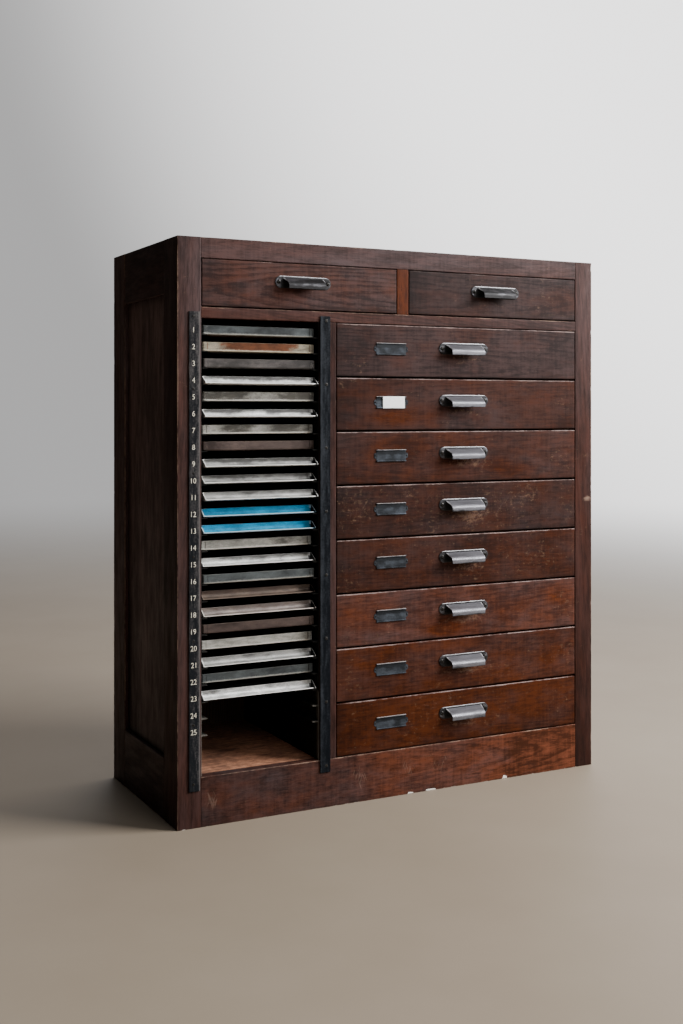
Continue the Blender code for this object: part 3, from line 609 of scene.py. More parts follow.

# A tray's finish: the colours of its sheet, of its dirt and painted shade, and of its rubbed edge; its
# roughness, metallic and specular
TRAY_FINISHES = {
    "bright_zinc": ("c4c4c1", "4c4b4a", "fafaf8", 0.42, 0.35, 0.5),
    "dull_zinc": ("8f8e8b", "403f3d", "eeeeea", 0.45, 0.35, 0.5),
    "grey_steel": ("4a4f50", "1e2122", "a8a8a2", 0.48, 0.4, 0.3),
    "beige_steel": ("8e8c85", "38352f", "dedbd2", 0.5, 0.3, 0.3),
    "umber_steel": ("544e4c", "2a2624", "9c9690", 0.5, 0.3, 0.3),
    "brown_steel": ("4d403b", "281d19", "8d7e74", 0.55, 0.2, 0.2),
    "rusty_steel": ("857d6d", "55301a", "cfc4ae", 0.6, 0.1, 0.15),
    "pink_steel": ("736964", "43342d", "d6cec6", 0.48, 0.35, 0.4),
    "tan_steel": ("55483f", "372a24", "6f6259", 0.5, 0.3, 0.25),
    "blue_paint": ("0788b0", "046789", "b8c6cc", 0.42, 0.0, 0.12),
}
TRAY_FINISH_OF = (
    "grey_steel rusty_steel umber_steel bright_zinc beige_steel bright_zinc beige_steel brown_steel"
    " dull_zinc dull_zinc dull_zinc blue_paint blue_paint beige_steel bright_zinc grey_steel"
    " tan_steel pink_steel brown_steel beige_steel dull_zinc grey_steel bright_zinc"
).split()
# How much more or less stained some trays are
TRAY_SOIL = {5: 0.33, 7: 0.1, 9: 0.15, 14: -0.3, 19: -0.3, 20: -0.3, 21: -0.1}
tray_metal = {name: sheet_metal(name + "_tray", *finish) for name, finish in TRAY_FINISHES.items()}

# A drawer front's looks: how red, how figured, how much lighter, how nicked
DRAWER_LOOKS = {
    "top_left": (0.2, 0.7, 0.3, 0.0),
    "top_right": (0.2, 0.4, -0.1, 0.1),
    "1": (0.05, 0.4, 0.0, 0.0),
    "2": (0.4, 0.3, -0.1, 0.3),
    "3": (0.5, 0.3, 0.05, 0.2),
    "4": (0.35, 0.25, -0.25, 0.8),
    "5": (0.55, 0.25, -0.15, 0.6),
    "6": (0.45, 0.35, 0.5, 0.3),
    "7": (0.75, 0.25, 0.1, 0.4),
    "8": (0.95, 0.3, -0.1, 0.5),
}
# Where some fronts have a red patch, from their left and lower edges
REDDENED = {"2": (134 * MM, 26 * MM), "3": (407 * MM, 25 * MM), "6": (250 * MM, 20 * MM)}

# Places taken from the frame
left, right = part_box("side_frame_left")[0].x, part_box("side_frame_right")[1].x
front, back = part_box("side_frame_left")[0].y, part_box("side_frame_left")[1].y
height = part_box("side_frame_left")[1].z
panel_low, panel_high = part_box("side_panel_left")
post_back, back_post_front = panel_low.y + PANEL_TONGUE, panel_high.y - PANEL_TONGUE
side_rail_top, side_rail_bottom = panel_low.z + PANEL_TONGUE, panel_high.z - PANEL_TONGUE
bay_left, bay_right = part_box("galley_rack_left")[0].x - 2 * JOINT_GAP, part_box("mullion")[0].x
stack_left, stack_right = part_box("mullion")[1].x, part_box("drawer_1")[1].x + DRAWER_REVEAL
rail_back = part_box("top_rail")[1].y
bay_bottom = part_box("bottom_rail")[1].z
bay_top, top_drawer_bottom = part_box("dust_frame")[0].z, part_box("dust_frame")[1].z
top_drawer_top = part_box("top_rail")[0].z
muntin_low, muntin_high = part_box("muntin")
first_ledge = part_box("tray_01")[0].z
ledge_pitch = (first_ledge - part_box(f"tray_{TRAYS:02d}")[0].z) / (TRAYS - 1)


def carcass_board(
    name, low, high, axis, tone, seed, replaces=None, rub=0.5, redder=0, darker=0, lift=0,
    wood=oak, seat=0, scuffs=(), chips=(), splashes=(), **how,
):
    """A stained board of the carcass, strewn with rubbed patches.

    It goes redder, lighter and more figured to the right by redder, and darker and redder towards the floor by
    darker. Painted shade darkens a panel next to its frame, in from the edges let into it by seat. Scuffs, chips
    and splashes are patches of pale strokes, of bare wood and of white paint on the front.
    """
    shape, attributes = plank(low, high, axis, seed=seed, **how)
    points = shape[0]
    x, y, z = points.T
    along = (x - low[0]) / (high[0] - low[0])
    lower = darker * (1 - z / height)
    attributes["rub"] = bells(points, random_patches(low, high, BOARD_PATCHES, rub, seed))
    attributes["tone"] = tone + redder * along + 0.7 * lower
    attributes["figure"] *= 1 + redder * (along - 1)
    # Darker towards the floor by darker, and towards the left by redder.
    attributes["grime_and_shade"] = lower + 0.4 * redder * (1 - along)
    attributes["lift"] = lift + redder * (0.25 * along - 0.15)
    attributes["paint"] = fading(z, 4) * 0.6
    for key, marked in (("scuff", scuffs), ("wear", chips), ("paint", splashes)):
        if marked:
            patch = bells(points, marked) * (y < front + FACE_DEPTH)
            attributes[key] = np.maximum(attributes.get(key, 0), patch)
    # Painted shade: the panel darkens next to its frame, in from the edges let into it.
    if seat:
        inside = np.minimum(points - np.array(low), np.array(high) - points)[:, 1:].min(1) - seat
        attributes["grime_and_shade"] += 0.8 * fading(np.maximum(inside, 0), 9)
    piece(name, shape, wood, "carcass", attributes, replaces)


def build_side(side, outer, inner, inward, seed):
    """A side frame's two posts and two rails, and the panel between them."""
    x0, x1 = sorted((outer, inner))
    on_left = side == "left"
    chip = (right - 12 * MM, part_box("drawer_4")[0].z + CHIP_RAISE, 17 * MM, 8 * MM, 1.1)
    posts = (("front", front, post_back, f"side_frame_{side}"), ("back", back_post_front, back, None))
    for i, (where, y0, y1, replaced) in enumerate(posts):
        carcass_board(
            f"post_{where}_{side}", (x0, y0, 0), (x1, y1, height), 2, 0.22 if on_left else 0.36, seed + i,
            replaced, 1.0, darker=0.42 if on_left else 0.6, lift=0.6 * (where == "back"),
            chips=() if on_left else (chip,), radius=1.2 * MM, dent=1.6 * MM, grid=12 * MM,
            arrises={(-inward, -1): 0.75, (inward, -1): 0.2},
        )
    thinner = SIDE_RAIL_THICKNESS - BOARD_HOUSING - JOINT_GAP
    rails = (("bottom", 0, side_rail_top, SIDE_RAIL_THICKNESS), ("top", side_rail_bottom, height, thinner))
    for i, (where, z0, z1, thick) in enumerate(rails):
        x0, x1 = sorted((outer + inward * SIDE_RAIL_SET_BACK, outer + inward * thick))
        low, high = (x0, post_back + JOINT_GAP, z0), (x1, back_post_front - JOINT_GAP, z1)
        carcass_board(f"side_rail_{where}_{side}", low, high, 1, 0.25, seed + 4 + i)
    low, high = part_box(f"side_panel_{side}")
    # On the left, the panel's lift is painted light: a paler panel than its frame on the shaded side, for a sheen.
    tone, darker, lift = (-0.6, 0.5, 2.2) if on_left else (0.3, 0, 0)
    carcass_board(
        f"panel_{side}", low, high, 2, tone, seed + 8, f"side_panel_{side}", darker=darker, lift=lift,
        seat=PANEL_TONGUE, step=20 * MM,
    )


def build_front():
    """Rails, mullion and muntin between the posts, and the dust board and guide behind them."""
    x0, x1 = bay_left + JOINT_GAP, stack_right - JOINT_GAP
    rails = (
        ("top_rail", top_drawer_top, height, 0.2, 0.0, 0.25, 0.5, 0.35),
        ("dust_frame", bay_top, top_drawer_bottom, 0.6, 0.0, 0.3, 0.6, 0.45),
        ("bottom_rail", 0, bay_bottom, 0.2, 1.0, 0.5, 0.7, 0.7),
    )
    scuffed = ((0.02, 18, 1.5), (0.18, 30, 0.8), (0.34, 34, 1.3), (0.45, 26, 1.2), (0.53, 30, 1.2), (0.62, 26, 1.0))
    splashed = ((0.254, 6, 8), (0.067, 18, 3), (0.02, 9, 2.5))
    marked = {
        "wood": oak_rail,
        "scuffs": [(bay_left + x, 50 * MM, wide * MM, 30 * MM, amount) for x, wide, amount in scuffed],
        "splashes": [(x, 2 * MM, wide * MM, tall * MM, 1.0) for x, wide, tall in splashed],
    }
    for i, (name, z0, z1, tone, redder, figure, top_wear, rub) in enumerate(rails):
        carcass_board(
            "front_" + name, (x0, front, z0), (x1, rail_back, z1), 0, tone, 31 + i, name, rub, redder,
            figure=figure, grid=12 * MM, dent=1.4 * MM, arrises={(-1, 1): top_wear, (-1, -1): 0.6 * top_wear},
            end_radius=0.2 * MM, **(marked if name == "bottom_rail" else {}),
        )
    carcass_board(
        "front_mullion", (bay_right, front, bay_bottom + JOINT_GAP), (stack_left, rail_back, bay_top - JOINT_GAP),
        2, 0.5, 34, "mullion", lift=-0.35,
    )
    low = (muntin_low.x, front, top_drawer_bottom + JOINT_GAP)
    high = (muntin_high.x, rail_back, top_drawer_top - JOINT_GAP)
    carcass_board("front_muntin", low, high, 2, 1.0, 35, "muntin", lift=0.55, wood=oak_front)
    inner = [
        plank(
            (x0, rail_back, top_drawer_bottom - DUST_BOARD),
            (x1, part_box("dust_frame")[1].y, top_drawer_bottom), 0, step=40 * MM,
        ),
        plank(
            (muntin_low.x, rail_back, top_drawer_bottom + JOINT_GAP),
            (muntin_high.x, muntin_high.y, top_drawer_bottom + GUIDE_HEIGHT), 1, step=40 * MM, seed=2,
        ),
    ]
    shape, attributes = joined_planks(inner)
    piece("dust_board_and_guide", shape, drawer_wood, "carcass", attributes)


def build_bearers():
    """The ledges on the right-hand posts that the drawer stack runs on."""
    pitch = (bay_top - bay_bottom) / STACK_DRAWERS
    x0, x1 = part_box("side_frame_right")[0].x, stack_right + BEARER_HOUSING
    y0, y1 = rail_back + 2 * JOINT_GAP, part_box("drawer_1")[1].y
    bearers = []
    for row in range(STACK_DRAWERS):
        z = bay_bottom + row * pitch
        bearers.append(plank((x0, y0, z + BEARER_FOOT), (x1, y1, z + BEARER_TOP), 1, step=40 * MM, seed=row))
    shape, attributes = joined_planks(bearers)
    piece("right_bearers", shape, drawer_wood, "carcass", attributes)


# Bay fittings


def numeral_shape(text):
    """A numeral's outline as a thin closed mesh in the front plane, its middle at the origin."""
    curve = bpy.data.curves.new("numeral", "FONT")
    curve.body, curve.align_x, curve.align_y = text, "CENTER", "CENTER"
    curve.size, curve.extrude, curve.resolution_u = NUMERAL_HEIGHT / 0.7, 0.12 * MM, 4
    curve.offset = -0.05 * MM
    holder = placed("numeral", curve)
    flat = bpy.data.meshes.new_from_object(holder)
    bpy.data.objects.remove(holder)
    tidy = bmesh.new()
    tidy.from_mesh(flat)
    bmesh.ops.remove_doubles(tidy, verts=tidy.verts, dist=1e-6)
    points = np.array([v.co[:] for v in tidy.verts])
    faces = [[v.index for v in face.verts] for face in tidy.faces]
    tidy.free()
    points = points - (points.max(0) + points.min(0)) / 2
    return np.stack([points[:, 0] * NUMERAL_NARROWING, -points[:, 2], points[:, 1]], -1), faces


def screw_shape(radius, tall, turn):
    """A slotted head facing -Y: rings drawn in over a low dome, pressed in along one slot."""
    rings = np.linspace(1, 0.08, 9)
    angle = np.linspace(0, 2 * math.pi, 24, endpoint=False)
    x = radius * rings[:, None] * np.cos(angle)
    z = radius * rings[:, None] * np.sin(angle)
    rise = tall * np.sqrt(np.clip(1 - 0.8 * rings**2, 0, 1))[:, None] + 0 * x
    across = np.abs(x * math.sin(turn) - z * math.cos(turn))
    rise = rise - 0.7 * tall * (across < 0.16 * radius)
    dome = np.stack([x, -rise, z], -1)
    return loft(np.concatenate([dome[:1] * np.array([1, 0, 1]), dome]))


def screws(name, places, radius, tall, body, seed):
    """Screw heads at several places, each turned its own way."""
    turns = np.random.default_rng(seed).uniform(0, math.pi, len(places))
    heads = []
    for place, turn in zip(places, turns):
        points, faces = screw_shape(radius, tall, turn)
        heads.append((points + place, faces))
    points, faces = merged(heads)
    marks = {"local": points, "edge": np.zeros(len(points)), "darkening": np.full(len(points), 0.9)}
    piece(name, (points, faces), screw_steel, body, marks)


def build_strips():
    """The two flat steel strips beside the trays, their numerals and screws."""
    strips = (("number_strip", number_steel, 1.0, 1.8), ("plain_strip", plain_steel, 0.34, 8))
    for name, steel, amount, reach in strips:
        low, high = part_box(name)
        shape = plank(low, high, 2, radius=0.4 * MM, step=8 * MM, dent=0.3 * MM, wear=0.6)[0]
        x, _, z = shape[0].T
        inner = high.x if name == "number_strip" else low.x
        # Paler along the rubbed inner edge, and painted light that makes the strip paler towards its top.
        edge = amount * fading(np.abs(x - inner), reach) + 0.2 * z / height
        piece(name + "_plate", shape, steel, "carcass", {"edge": edge}, name)
    low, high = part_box("number_strip")
    x = high.x - NUMERAL_FROM_EDGE
    numerals = []
    for slot in range(1, SLOTS + 1):
        points, faces = numeral_shape(str(slot))
        z = first_ledge - (slot - 1) * NUMERAL_PITCH + NUMERAL_RAISE
        numerals.append((points + (x, low.y - 0.1 * MM, z), faces))
    piece("numerals", merged(numerals), numeral_cream, "carcass")
    below = [first_ledge - (slot - 0.5) * ledge_pitch + NUMERAL_RAISE for slot in SCREWS_BELOW]
    levels = [high.z - SCREW_FROM_TOP, *below, low.z + SCREW_FROM_FOOT]
    screws("number_strip_screws", [(x, low.y, z) for z in levels], 2.6 * MM, 0.7 * MM, "carcass", 3)
    low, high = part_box("plain_strip")
    x = (low.x + high.x) / 2 + 2 * MM
    levels = np.linspace(low.z + SCREW_FROM_FOOT, high.z - SCREW_FROM_TOP, PLAIN_STRIP_SCREWS)
    screws("plain_strip_screws", [(x, low.y, z) for z in levels], 3.2 * MM, 0.8 * MM, "carcass", 4)


def rounded_ring(half_x, y_low, y_high, radius, along=22):
    """A rounded rectangle in plan, anticlockwise, with points along its sides."""
    angles = np.linspace(0, QUARTER, ARC_POINTS)
    x, low, high = half_x - radius, y_low + radius, y_high - radius
    corners = np.array(((x, low), (x, high), (-x, high), (-x, low)))
    parts = []
    for turn in range(4):
        angle = angles + (turn - 1) * QUARTER
        arc = corners[turn] + radius * np.stack([np.cos(angle), np.sin(angle)], -1)
        share = np.linspace(0, 1, along + 2)[1:-1, None]
        side = (1 - share) * corners[turn] + share * corners[(turn + 1) % 4]
        parts += [arc, side + arc[-1] - corners[turn]]
    return np.concatenate(parts)


def tray_pan(length, tall, half):
    """A tray: rounded rectangles drawn out from the foot, up the wall, over the rim and down inside to the floor."""
    bend, sheet, rim = 2.2 * MM, TRAY_SHEET, 0.3 * MM
    turns = np.linspace(0, QUARTER, 4)
    tight = bend - sheet + 0.4 * MM
    profile = [(bend * (1 - math.sin(t)), bend * (1 - math.cos(t))) for t in turns]
    profile += [(0, bend + share * (tall - bend - rim)) for share in (0.1, 0.3, 0.6, 0.9, 1)]
    profile += [(rim, tall), (sheet - rim, tall), (sheet, tall - rim)]
    profile += [(sheet + tight * (1 - math.sin(t)), sheet + tight * (1 - math.cos(t))) for t in turns[::-1]]
    profile += [(inset * MM, sheet) for inset in (12, 28, 50, 80)]
    rings = []
    for inset, z in profile:
        plan = rounded_ring(half - inset, inset, length - inset, max(0.6 * MM, 3 * MM - inset))
        rings.append(np.column_stack([plan, np.full(len(plan), z)]))
    return loft(rings)


def tray_scoop(half, tall):
    """A lipped tray's front: a lip that falls to the floor, a quarter circle up to the wall, and two sloping wings."""
    turn = np.linspace(0, QUARTER, 8)
    slope = np.linspace(0, 1, 6)[:-1]
    lip_y = -TRAY_LIP + slope * (TRAY_LIP - TRAY_COVE)
    lip_z = TRAY_SHEET + (1 - slope) * TRAY_LIP_RISE
    across = np.linspace(-half + TRAY_SHEET, half - TRAY_SHEET, 41)
    sides = []
    for deeper in (0, TRAY_SHEET):
        y = np.concatenate([lip_y, -TRAY_COVE + (TRAY_COVE + deeper) * np.sin(turn) - 0.05 * MM])
        z = np.concatenate([lip_z - deeper, TRAY_SHEET + TRAY_COVE - (TRAY_COVE + deeper) * np.cos(turn)])
        sides.append(swept(across, y, z))
    shapes = [thick_sheet(*sides)]
    wing = np.array(
        [(-TRAY_LIP, TRAY_LIP_RISE), (0.5 * MM, 0), (0.5 * MM, tall), (-TRAY_LIP, TRAY_LIP_RISE + TRAY_SHEET)]
    )
    for ends in ((-half, -half + TRAY_SHEET), (half - TRAY_SHEET, half)):
        shapes.append(loft([np.column_stack([np.full(4, x), wing]) for x in ends]))
    return merged(shapes)


def tray_laps(half, tall):
    """A plain tray's two folded corners, lapped flat on its front wall."""
    shapes = []
    for side in (-1, 1):
        x0, x1 = sorted((side * (half - 2.5 * MM), side * (half - CORNER_LAP)))
        low, high = (x0, -0.5 * MM, 1.6 * MM), (x1, 0.3 * MM, tall - 0.8 * MM)
        shapes.append(plank(low, high, 0, radius=0.2 * MM, end_radius=0.2 * MM, step=4 * MM)[0])
    return merged(shapes)


def tray_marks(points, slot, finish, half, tall, length):
    """A tray's marks: edge, where fingers and its neighbours rub it bright, with painted light; and darker marks
    where dirt and rust gather, with painted shade.
    """
    x, y, z = points.T
    lipped = slot in LIPPED_TRAYS
    on_front = y < 1.5 * TRAY_SHEET
    to_end = half - np.abs(x)
    # Painted light: at a front's right end the brightness reaches further, for light thrown back by the wing.
    near_end = on_front * fading(to_end, np.where(x > 0, 10, 5)) * (0.9 if lipped else 0.5)
    near_floor = (0.45 if finish in ("brown_steel", "umber_steel") else 1.1) * on_front
    near_floor = near_floor * fading(z, 1.3 if lipped else 4)
    near_rim = 0.6 * fading(tall - z, 0.6)
    on_lip = fading(np.maximum(y + TRAY_LIP, 0), 2) if lipped else 0
    on_wing = lipped * (y < 0.6 * MM) * (np.abs(x) > half - 1.1 * TRAY_SHEET)
    # Painted shadow: the inner face of a lipped tray's right wing goes black, with no bright edge.
    in_wing = on_wing * (x > 0) * (x < half - 0.5 * TRAY_SHEET)
    on_wing = on_wing * np.where((x > 0) & (slot < 8), 0.55, 1.2)
    on_lap = (not lipped) * (y < -0.1 * MM)
    edge = np.maximum.reduce([near_end, near_floor, near_rim, 0.8 * on_lip + 0.35 * on_lap, on_wing])
    edge = edge * (1 - in_wing)
    if finish == "blue_paint":
        edge = edge + 0.6 * (lattice_noise(points / (9 * MM), slot) > 0.62) * on_lip
    lumps = np.column_stack([x / 0.05, y / 0.08, np.full(len(points), slot * 1.7)])
    darkening = (0.25 if lipped else 0.5) * lattice_noise(lumps, slot) + TRAY_SOIL.get(slot, 0)
    # Inside a tray, dirt gathers towards the walls, with painted shade in its corners.
    to_wall = np.minimum(to_end, np.minimum(y, length - y))
    darkening = darkening + ~on_front * (0.1 + 1.5 * fading(np.maximum(to_wall, 0), 35))
    # Painted shade: a lipped front darkens towards its top, more so in the upper slots.
    if lipped and finish != "blue_paint":
        rising = 1.2 if slot < 10 else 0.9 if slot < 17 else 0.6
        darkening = darkening + on_front * (rising * (z / tall) ** 1.5 - 0.5)
    # Painted shadow: black in the right wing, and a dark line along each corner lap's inner end.
    darkening = darkening + 5 * in_wing + 1.2 * on_lap * (np.abs(x) < half - CORNER_LAP + 1 * MM)
    if finish == "rusty_steel":
        darkening = darkening + 1.5 * np.exp(-((x / 0.085) ** 4)) - 0.45
    return {"edge": edge, "darkening": darkening}


def build_trays():
    """A galley tray in each filled slot, with a finish of its own."""
    for slot, finish in enumerate(TRAY_FINISH_OF, start=1):
        name = f"tray_{slot:02d}"
        low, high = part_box(name)
        lipped = slot in LIPPED_TRAYS
        half, tall = (high.x - low.x) / 2, high.z - low.z
        wall = low.y + (TRAY_LIP if lipped else 0)
        front_fold = tray_scoop(half, tall) if lipped else tray_laps(half, tall)
        points, faces = merged([tray_pan(high.y - wall, tall, half), front_fold])
        marks = tray_marks(points, slot, finish, half, tall, high.y - wall)
        marks["local"] = points + np.random.default_rng(slot).uniform(-3, 3, 3)
        points = points + ((low.x + high.x) / 2, wall, low.z)
        piece(name + "_sheet", (points, faces), tray_metal[finish], name, marks, name)


# Drawers


def pull_shape(half_length, reach):
    """A pressed pull about its plate's middle: a round-ended plate, and a hood that narrows to its lip.

    The plate's outline is drawn in ring by ring. The hood's side view is a slanted line, a quadratic
    curve that rounds off the corner, and a plumb skirt.
    """
    straight = half_length - PLATE_HALF
    cap, run = np.linspace(-QUARTER, QUARTER, 15), np.linspace(straight, -straight, 14)[1:-1]
    angle = np.concatenate([cap, np.full(12, QUARTER), cap + math.pi, np.full(12, -QUARTER)])
    centre = np.concatenate([np.full(15, straight), run, np.full(15, -straight), -run])
    rings = []
    for inset, y in ((0, 0), (0, 0.5), (0.3 * MM, 0.9), (0.8 * MM, 1), (2.5 * MM, 1), (5 * MM, 1), (8 * MM, 1)):
        x = centre + (PLATE_HALF - inset) * np.cos(angle)
        z = (PLATE_HALF - inset) * np.sin(angle)
        rings.append(np.column_stack([x, np.full(len(angle), -PULL_SHEET * y), z]))
    slant_end, corner, skirt_top = np.array([(0.62, 0.30), (1, 0.48), (1, 0.72)])
    t = np.linspace(0, 1, 11)[:, None]
    bend = (1 - t) ** 2 * slant_end + 2 * t * (1 - t) * corner + t**2 * skirt_top
    slant, skirt = np.linspace((0, 0), slant_end, 6)[:-1], np.linspace(skirt_top, (1, 1), 5)[1:]
    out, fall = np.concatenate([slant, bend, skirt]).T
    across = np.linspace(-1, 1, 33)
    sides = []
    for inset in (0, PULL_SHEET):
        z = PLATE_HALF - HOOD_TOP - (HOOD_FOOT - HOOD_TOP) * fall - inset * (1 - fall)
        sides.append(swept(across * (HOOD_HALF - HOOD_TAPER * out)[:, None], -(reach - inset) * out, z))
    return merged([loft(rings), thick_sheet(*sides)])


def build_pull(name, body, seed):
    """A pull on its drawer, with a painted highlight on its plate's top edge, bright hood ends, painted shade
    on its hood and painted black shadow under it, and its two screws.
    """
    low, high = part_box(f"pull_{name}")
    middle = np.array([(low.x + high.x) / 2, high.y, high.z - PLATE_HALF])
    points, faces = pull_shape((high.x - low.x) / 2, high.y - low.y)
    x, y, z = points.T
    on_plate = y > -PULL_SHEET * 1.1
    # Painted shade: the hood's skirt darkens towards its foot.
    lip = fading(z - z.min(), 3)
    # Painted highlight along the top edge of the plate.
    rim = on_plate * fading(np.maximum(PLATE_HALF - z, 0), 1.5)
    ends = fading(HOOD_HALF - HOOD_TAPER - np.abs(x), 2) * ~on_plate
    # Painted black shadow on the plate under the hood.
    under = on_plate * (np.abs(x) < HOOD_HALF + 3 * MM) * (z < PLATE_HALF - HOOD_TOP)
    # Painted shade: the top drawers' hoods, seen from below, are darker than the others.
    on_hood = 0.8 * lip + (0.3 if name in TOP_DRAWERS else -0.5)
    marks = {
        "local": points + seed * 0.31,
        "edge": np.maximum(rim, 0.3 * ends),
        "darkening": np.where(under, 3.5, np.where(on_plate, 0.25, on_hood)),
    }
    node_name = f"pull_{name}"
    piece(node_name + "_steel", (points + middle, faces), pull_steel, body, marks, node_name)
    places = [middle + (side * PULL_SCREW_SPREAD, -PULL_SHEET, 0) for side in (-1, 1)]
    screws(node_name + "_screws", places, 4.2 * MM, 1.8 * MM, body, seed)


def build_label(name, body, low, high):
    """A label holder: a thin plate with a round ear at each end, a lip along its top and bottom, and in one a card."""
    x0 = low.x + LABEL_FROM_LEFT
    x1, centre = x0 + LABEL_WIDTH, x0 + LABEL_WIDTH / 2
    middle = (low.z + high.z) / 2 + LABEL_RAISE
    bottom, top = middle - LABEL_HEIGHT / 2, middle + LABEL_HEIGHT / 2
    thin = {"radius": 0.2 * MM, "end_radius": 0.2 * MM, "step": 6 * MM}
    ears = rounded_ring(LABEL_WIDTH / 2 + LABEL_EAR, -LABEL_EAR_HEIGHT / 2, LABEL_EAR_HEIGHT / 2, 0.9 * LABEL_EAR, 6)
    rings = [
        np.column_stack([centre + ears[:, 0], np.full(len(ears), front - y), middle + ears[:, 1]])
        for y in (0, LABEL_SHEET)
    ]
    shapes = [
        loft(rings),
        plank((x0, front - 1 * MM, bottom + 1 * MM), (x1, front, top - 1 * MM), 0, **thin)[0],
    ]
    for z0, z1 in ((bottom, bottom + LABEL_LIP), (top - LABEL_LIP, top)):
        shapes.append(plank((x0, front - LABEL_DEPTH, z0), (x1, front, z1), 0, radius=0.7 * MM, step=6 * MM)[0])
    points, faces = merged(shapes)
    _, y, z = points.T
    on_top = 0.9 * fading(np.maximum(top - z, 0), 1.2)
    on_foot = 0.45 * fading(np.maximum(z - bottom, 0), 1.5)
    # Painted shadow below the top lip.
    shaded = 1.5 * np.exp(-((np.minimum(z - top + LABEL_LIP, 0) / (4 * MM)) ** 2)) * (y > front - 2 * MM)
    darkening = 0.6 * lattice_noise(points / 0.012, 5) + shaded
    marks = {"local": points, "edge": np.maximum(on_top, on_foot), "darkening": darkening}
    piece(f"{body}_label", (points, faces), holder_steel, body, marks, sharp=30)
    pins = [(x, front - LABEL_SHEET, middle) for x in (x0 - LABEL_EAR / 2, x1 + LABEL_EAR / 2)]
    screws(f"{body}_label_pins", pins, 1.5 * MM, 0.9 * MM, body, 8)
    if name == CARD_DRAWER:
        left_end = centre + CARD_SHIFT - CARD_WIDTH / 2
        low_corner = (left_end, front - LABEL_DEPTH - 0.4 * MM, bottom + 0.4 * MM)
        high_corner = (left_end + CARD_WIDTH, front - LABEL_DEPTH - 0.1 * MM, top - 0.4 * MM)
        card = plank(low_corner, high_corner, 0, radius=0.1 * MM, end_radius=0.1 * MM, step=8 * MM)[0]
        piece(f"{body}_card", card, card_white, body)


def build_drawer_box(body, low, high, foot, seed):
    """A drawer's sides, back and bottom in bare wood."""
    x0, x1 = low.x - DRAWER_REVEAL + SIDE_PLAY, high.x + DRAWER_REVEAL - SIDE_PLAY
    y0, y1 = front + FRONT_THICKNESS - 0.3 * MM, high.y
    rim, floor = high.z + DRAWER_REVEAL - HEAD_ROOM, foot + BOTTOM_RAISE
    a, b = x0 + DRAWER_SIDE, x1 - DRAWER_SIDE
    boxes = (
        ((x0, y0, foot), (a, y1, rim), 1),
        ((b, y0, foot), (x1, y1, rim), 1),
        ((a, y1 - DRAWER_SIDE, floor), (b, y1, rim), 0),
        ((a, y0, floor), (b, y1 - DRAWER_SIDE, floor + BOTTOM_THICKNESS), 0),
    )
    boards = [plank(*box, step=30 * MM, seed=seed + i) for i, box in enumerate(boxes)]
    shape, attributes = joined_planks(boards)
    piece(f"{body}_box", shape, drawer_wood, body, attributes)


def build_drawers():
    """Each drawer's front, box, pull and label."""
    for i, (name, (tone, figure, lift, nicked)) in enumerate(DRAWER_LOOKS.items()):
        body = f"drawer_{name}"
        low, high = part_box(body)
        on_top = name in TOP_DRAWERS
        z0 = top_drawer_bottom + DRAWER_REVEAL if on_top else low.z
        corners = (low.x, front, z0 + WORN_FOOT), (high.x, front + FRONT_THICKNESS, high.z)
        shape, attributes = plank(
            *corners, 0, radius=1.2 * MM, end_radius=1.0 * MM, step=5 * MM, grid=9 * MM, wear=0.3, dent=0.8 * MM,
            arrises={(-1, 1): 0.4 if on_top else 0.8, (-1, -1): 0.3}, figure=figure, tone=tone, seed=50 + i,
        )
        points = shape[0]
        pull_low, pull_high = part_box(f"pull_{name}")
        middle = (pull_low.x + pull_high.x) / 2
        patches = random_patches(*corners, DRAWER_PATCHES, 0.6, 90 + i)
        patches.append((middle + 6 * MM, pull_low.z - 9 * MM, 50 * MM, 10 * MM, 0.4 if on_top else 2.0))
        patches.append((high.x - 30 * MM, (z0 + high.z) / 2, 60 * MM, 30 * MM, 0.5))
        attributes["rub"] = bells(points, patches) + nicked
        # Painted shade: each front is darker towards its left end, away from the light on the right.
        attributes["lift"] = lift - 0.3 * fading(points[:, 0] - low.x, 60)
        if name in REDDENED:
            x, z = REDDENED[name]
            attributes["tone"] += bells(points, [(low.x + x, low.z + z, 48 * MM, 14 * MM, 0.8)])
        # Painted shade: each front darkens along its foot, above the shadowed gap below it.
        attributes["grime_and_shade"] = 0.75 * fading(points[:, 2] - z0 - WORN_FOOT, 1.6)
        piece(f"{body}_front", shape, oak_front, body, attributes, body)
        build_drawer_box(body, low, high, z0 - DRAWER_REVEAL + (TOP_LIFT if on_top else STACK_LIFT), 70 + 5 * i)
        build_pull(name, body, i)
        if not on_top:
            build_label(name, body, low, high)


def dress_cad_nodes():
    """Finishes for the nodes whose own shape is shown."""
    finishes = {
        "top_board": top_oak,
        "floor_board": floor_wood,
        "partition": inner_wood,
        "back_panel": back_wood,
        "galley_rack_left": rack_steel,
        "galley_rack_right": rack_steel,
    }
    for name, material in finishes.items():
        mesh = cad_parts[name].data
        mesh.materials.clear()
        mesh.materials.append(material)


# Stage


def studio_glow(tree, direction, kind):
    """The studio's light in a direction: dark on the cabinet's left, pale behind it and brightest to the right."""
    toward = node(tree, "VectorMath", direction, (0.8, 0.45, 0.4), out=1, operation="DOT_PRODUCT")
    colour = node(tree, "MixRGB", node(tree, "MapRange", toward, 0.3, 0.62, **SMOOTH), "211f1c", "bcbbbb")
    return node(tree, kind, Color=colour, Strength=node(tree, "MapRange", toward, 0.68, 0.92, 1.0, 5.0, **SMOOTH))


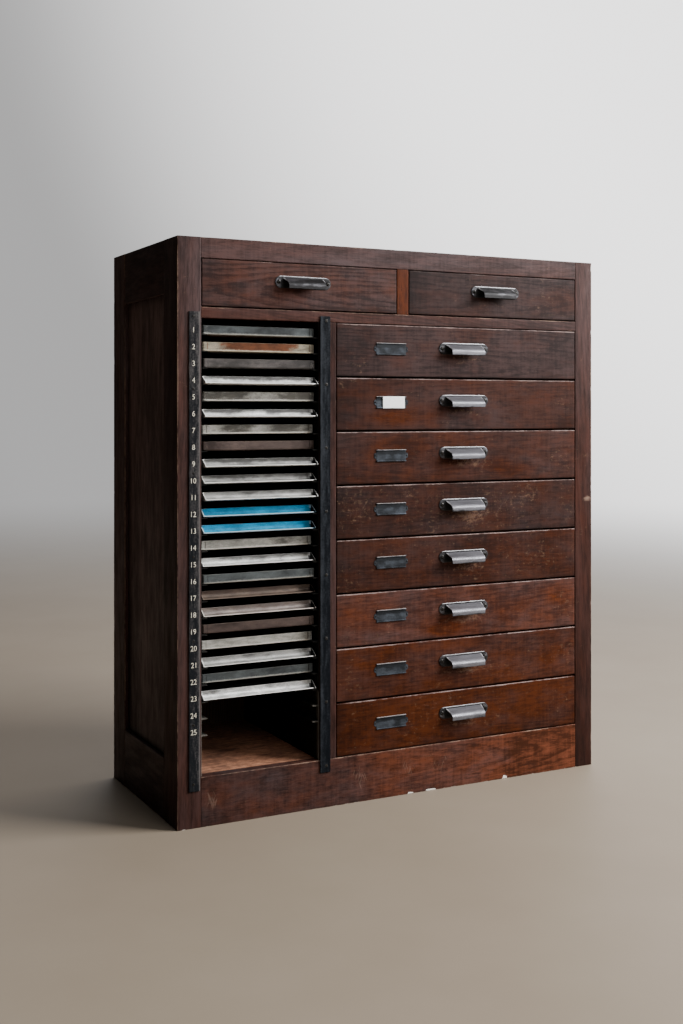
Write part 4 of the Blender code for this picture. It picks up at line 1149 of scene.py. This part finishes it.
def build_floor():
    """A plain pale floor that fades into the studio's own colour far out."""
    mesh = bpy.data.meshes.new("floor")
    reach = 60.0
    corners = [(-reach, -reach, 0), (reach, -reach, 0), (reach, reach, 0), (-reach, reach, 0)]
    mesh.from_pydata(corners, [], [(0, 1, 2, 3)])
    material, tree = new_material("pale_studio_floor")
    place = node(tree, "TexCoord", out=3)
    colour = node(tree, "MixRGB", noise(tree, place, (2, 2, 2), 5.0), "7b6e5e", "8b7f70")
    near = node(tree, "BsdfPrincipled", Base_Color=colour, Roughness=0.6, Specular_IOR_Level=0.2)
    away = node(tree, "VectorMath", place, CAMERA_PLACE, operation="SUBTRACT")
    away = node(tree, "VectorMath", away, operation="NORMALIZE")
    far = studio_glow(tree, away, "Emission")
    distance = node(tree, "VectorMath", place, out=1, operation="LENGTH")
    both = node(tree, "MixShader", node(tree, "MapRange", distance, 1.5, 9.0, **SMOOTH), near, far)
    node(tree, "OutputMaterial", Surface=both)
    mesh.materials.append(material)
    floor = placed("floor", mesh)


def build_lights():
    """Soft daylight from the front right, in a studio pale behind the cabinet and dark on its left."""
    world = bpy.data.worlds.new("studio")
    bpy.context.scene.world = world
    world.use_nodes = True
    tree = world.node_tree
    tree.nodes.clear()
    node(tree, "OutputWorld", Surface=studio_glow(tree, node(tree, "TexCoord", out=0), "Background"))
    lights = (
        ("window", (3.2, -2.3, 2.7), (0, 0, 0.6), 2.4, 560),
        ("room", (0.4, -4.5, 3.0), (0, 0, 0.6), 3.0, 80),
    )
    for name, place, target, size, power in lights:
        data = bpy.data.lights.new(name, "AREA")
        data.size, data.energy = size, power
        lamp = placed(name, data)
        lamp.location = place
        x, y, z = np.array(target) - np.array(place)
        lamp.rotation_euler = (math.atan2(math.hypot(x, y), -z), 0, math.atan2(-x, y))


def build_camera():
    """The camera at the height and angle of the picture, level, with its lens shifted."""
    data = bpy.data.cameras.new("camera")
    data.lens, data.shift_y = CAMERA_LENS, CAMERA_SHIFT_UP
    camera = placed("camera", data)
    camera.location = CAMERA_PLACE
    camera.rotation_euler = (QUARTER, 0, -math.radians(CAMERA_YAW))
    bpy.context.scene.camera = camera


build_side("left", left, bay_left, 1, 10)
build_side("right", right, stack_right, -1, 20)
build_front()
build_bearers()
build_strips()
build_trays()
build_drawers()
dress_cad_nodes()
build_floor()
build_lights()
build_camera()
